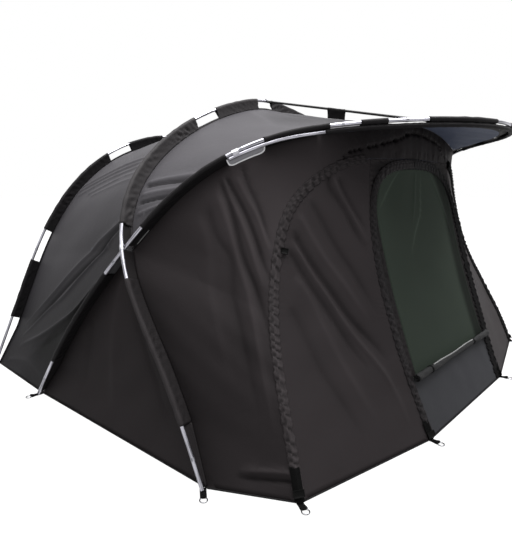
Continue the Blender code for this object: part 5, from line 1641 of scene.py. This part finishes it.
def peg_tab(name, place, heading):
    """Webbing from under the hem, out and round the ring, and back on top of itself."""
    turned = Matrix.Translation((place[0], place[1], 0.0)) @ Matrix.Rotation(heading, 4, "Z")
    rest = WEBBING_THICKNESS / 2.0
    bend = np.radians(np.linspace(-90.0, 90.0, 9))
    loop_radius = RING_WIRE + rest
    ring_axis = STRIP_OUT + RING_WIRE - RING_IN_STRIP
    route = [(STRIP_OUT - STRIP_LENGTH, rest), (0.0, rest), (STRIP_OUT - 0.008, rest)]
    route += [(ring_axis + loop_radius * math.cos(a), loop_radius + loop_radius * math.sin(a)) for a in bend]
    route += [(STRIP_OUT - 0.010, 2.0 * loop_radius - 0.002), (0.012, rest + WEBBING_THICKNESS),
              (0.002, rest + WEBBING_THICKNESS)]
    line, length = spline([(x, 0.0, z) for x, z in route], STRIP_STEPS + 1)
    line[:, 2] = np.maximum(line[:, 2], rest)
    mesh_builder = flat_grid(STRIP_STEPS, STRIP_COLUMNS)
    along, over = grid_shares(mesh_builder)
    step = np.round(along * STRIP_STEPS).astype(int)
    points = [turned @ Vector((line[k, 0], (share - 0.5) * STRIP_WIDTH, line[k, 2]))
              for k, share in zip(step, over)]
    lay_out(mesh_builder, points, np.column_stack([length[step], over * STRIP_WIDTH]))
    mesh_builder.normal_update()
    bmesh.ops.recalc_face_normals(mesh_builder, faces=mesh_builder.faces)
    strip = link_piece(name + "_webbing", mesh_builder, webbing, [name])
    thicken(strip, WEBBING_THICKNESS * 0.9, offset=0.0)
    centre = ring_axis + RING_RADIUS
    ring = [turned @ Vector((centre + RING_RADIUS * math.cos(a), RING_RADIUS * math.sin(a),
                             loop_radius * 0.75)) for a in np.linspace(0.0, 2.0 * math.pi, 49)]
    bent_wire(name + "_ring", ring, RING_WIRE * 0.8, bright_steel, sides=12)


for word, ((x, y), heading) in PEG_TABS.items():
    peg_tab("peg_tab_" + word + "_right", (x, y), math.radians(heading))
    peg_tab("peg_tab_" + word + "_left", (-x, y), math.pi - math.radians(heading))

# Hem: black piping, a cord bound in cloth and sewn round the foot of the skin, where it meets
# the ground.
binding_cloth = coated_cloth("binding", (0.0052, 0.0050, 0.0052), 0.70, 0.03, 0.0010)
HEM_PIPING_RADIUS = 0.0032
HEM_CELL = 0.05
foot_step = np.array([0.0])
hem_corners = [*hem_line[::-60], rear_seam(foot_step)[0], front_seam(foot_step)[0], middle_seam(foot_step)[0],
               arch_seam(foot_step)[0], door_seam(foot_step)[0]]
hem_half = [np.array((x, y, HEM_HEIGHT)) for x, y, z in hem_corners]
hem_round = hem_half + [place * (-1.0, 1.0, 1.0) for place in hem_half[::-1]]
hem_route = []
for start, end in zip(hem_round, hem_round[1:]):
    pieces = max(int(np.linalg.norm(end - start) / HEM_CELL), 1)
    hem_route += [start + (end - start) * step / pieces for step in range(pieces)]
hem_route.append(hem_round[-1])
piping = bent_wire("hem_piping", hem_route, HEM_PIPING_RADIUS, binding_cloth, sides=10)
float(distances(np.array(hem_route))[-1])
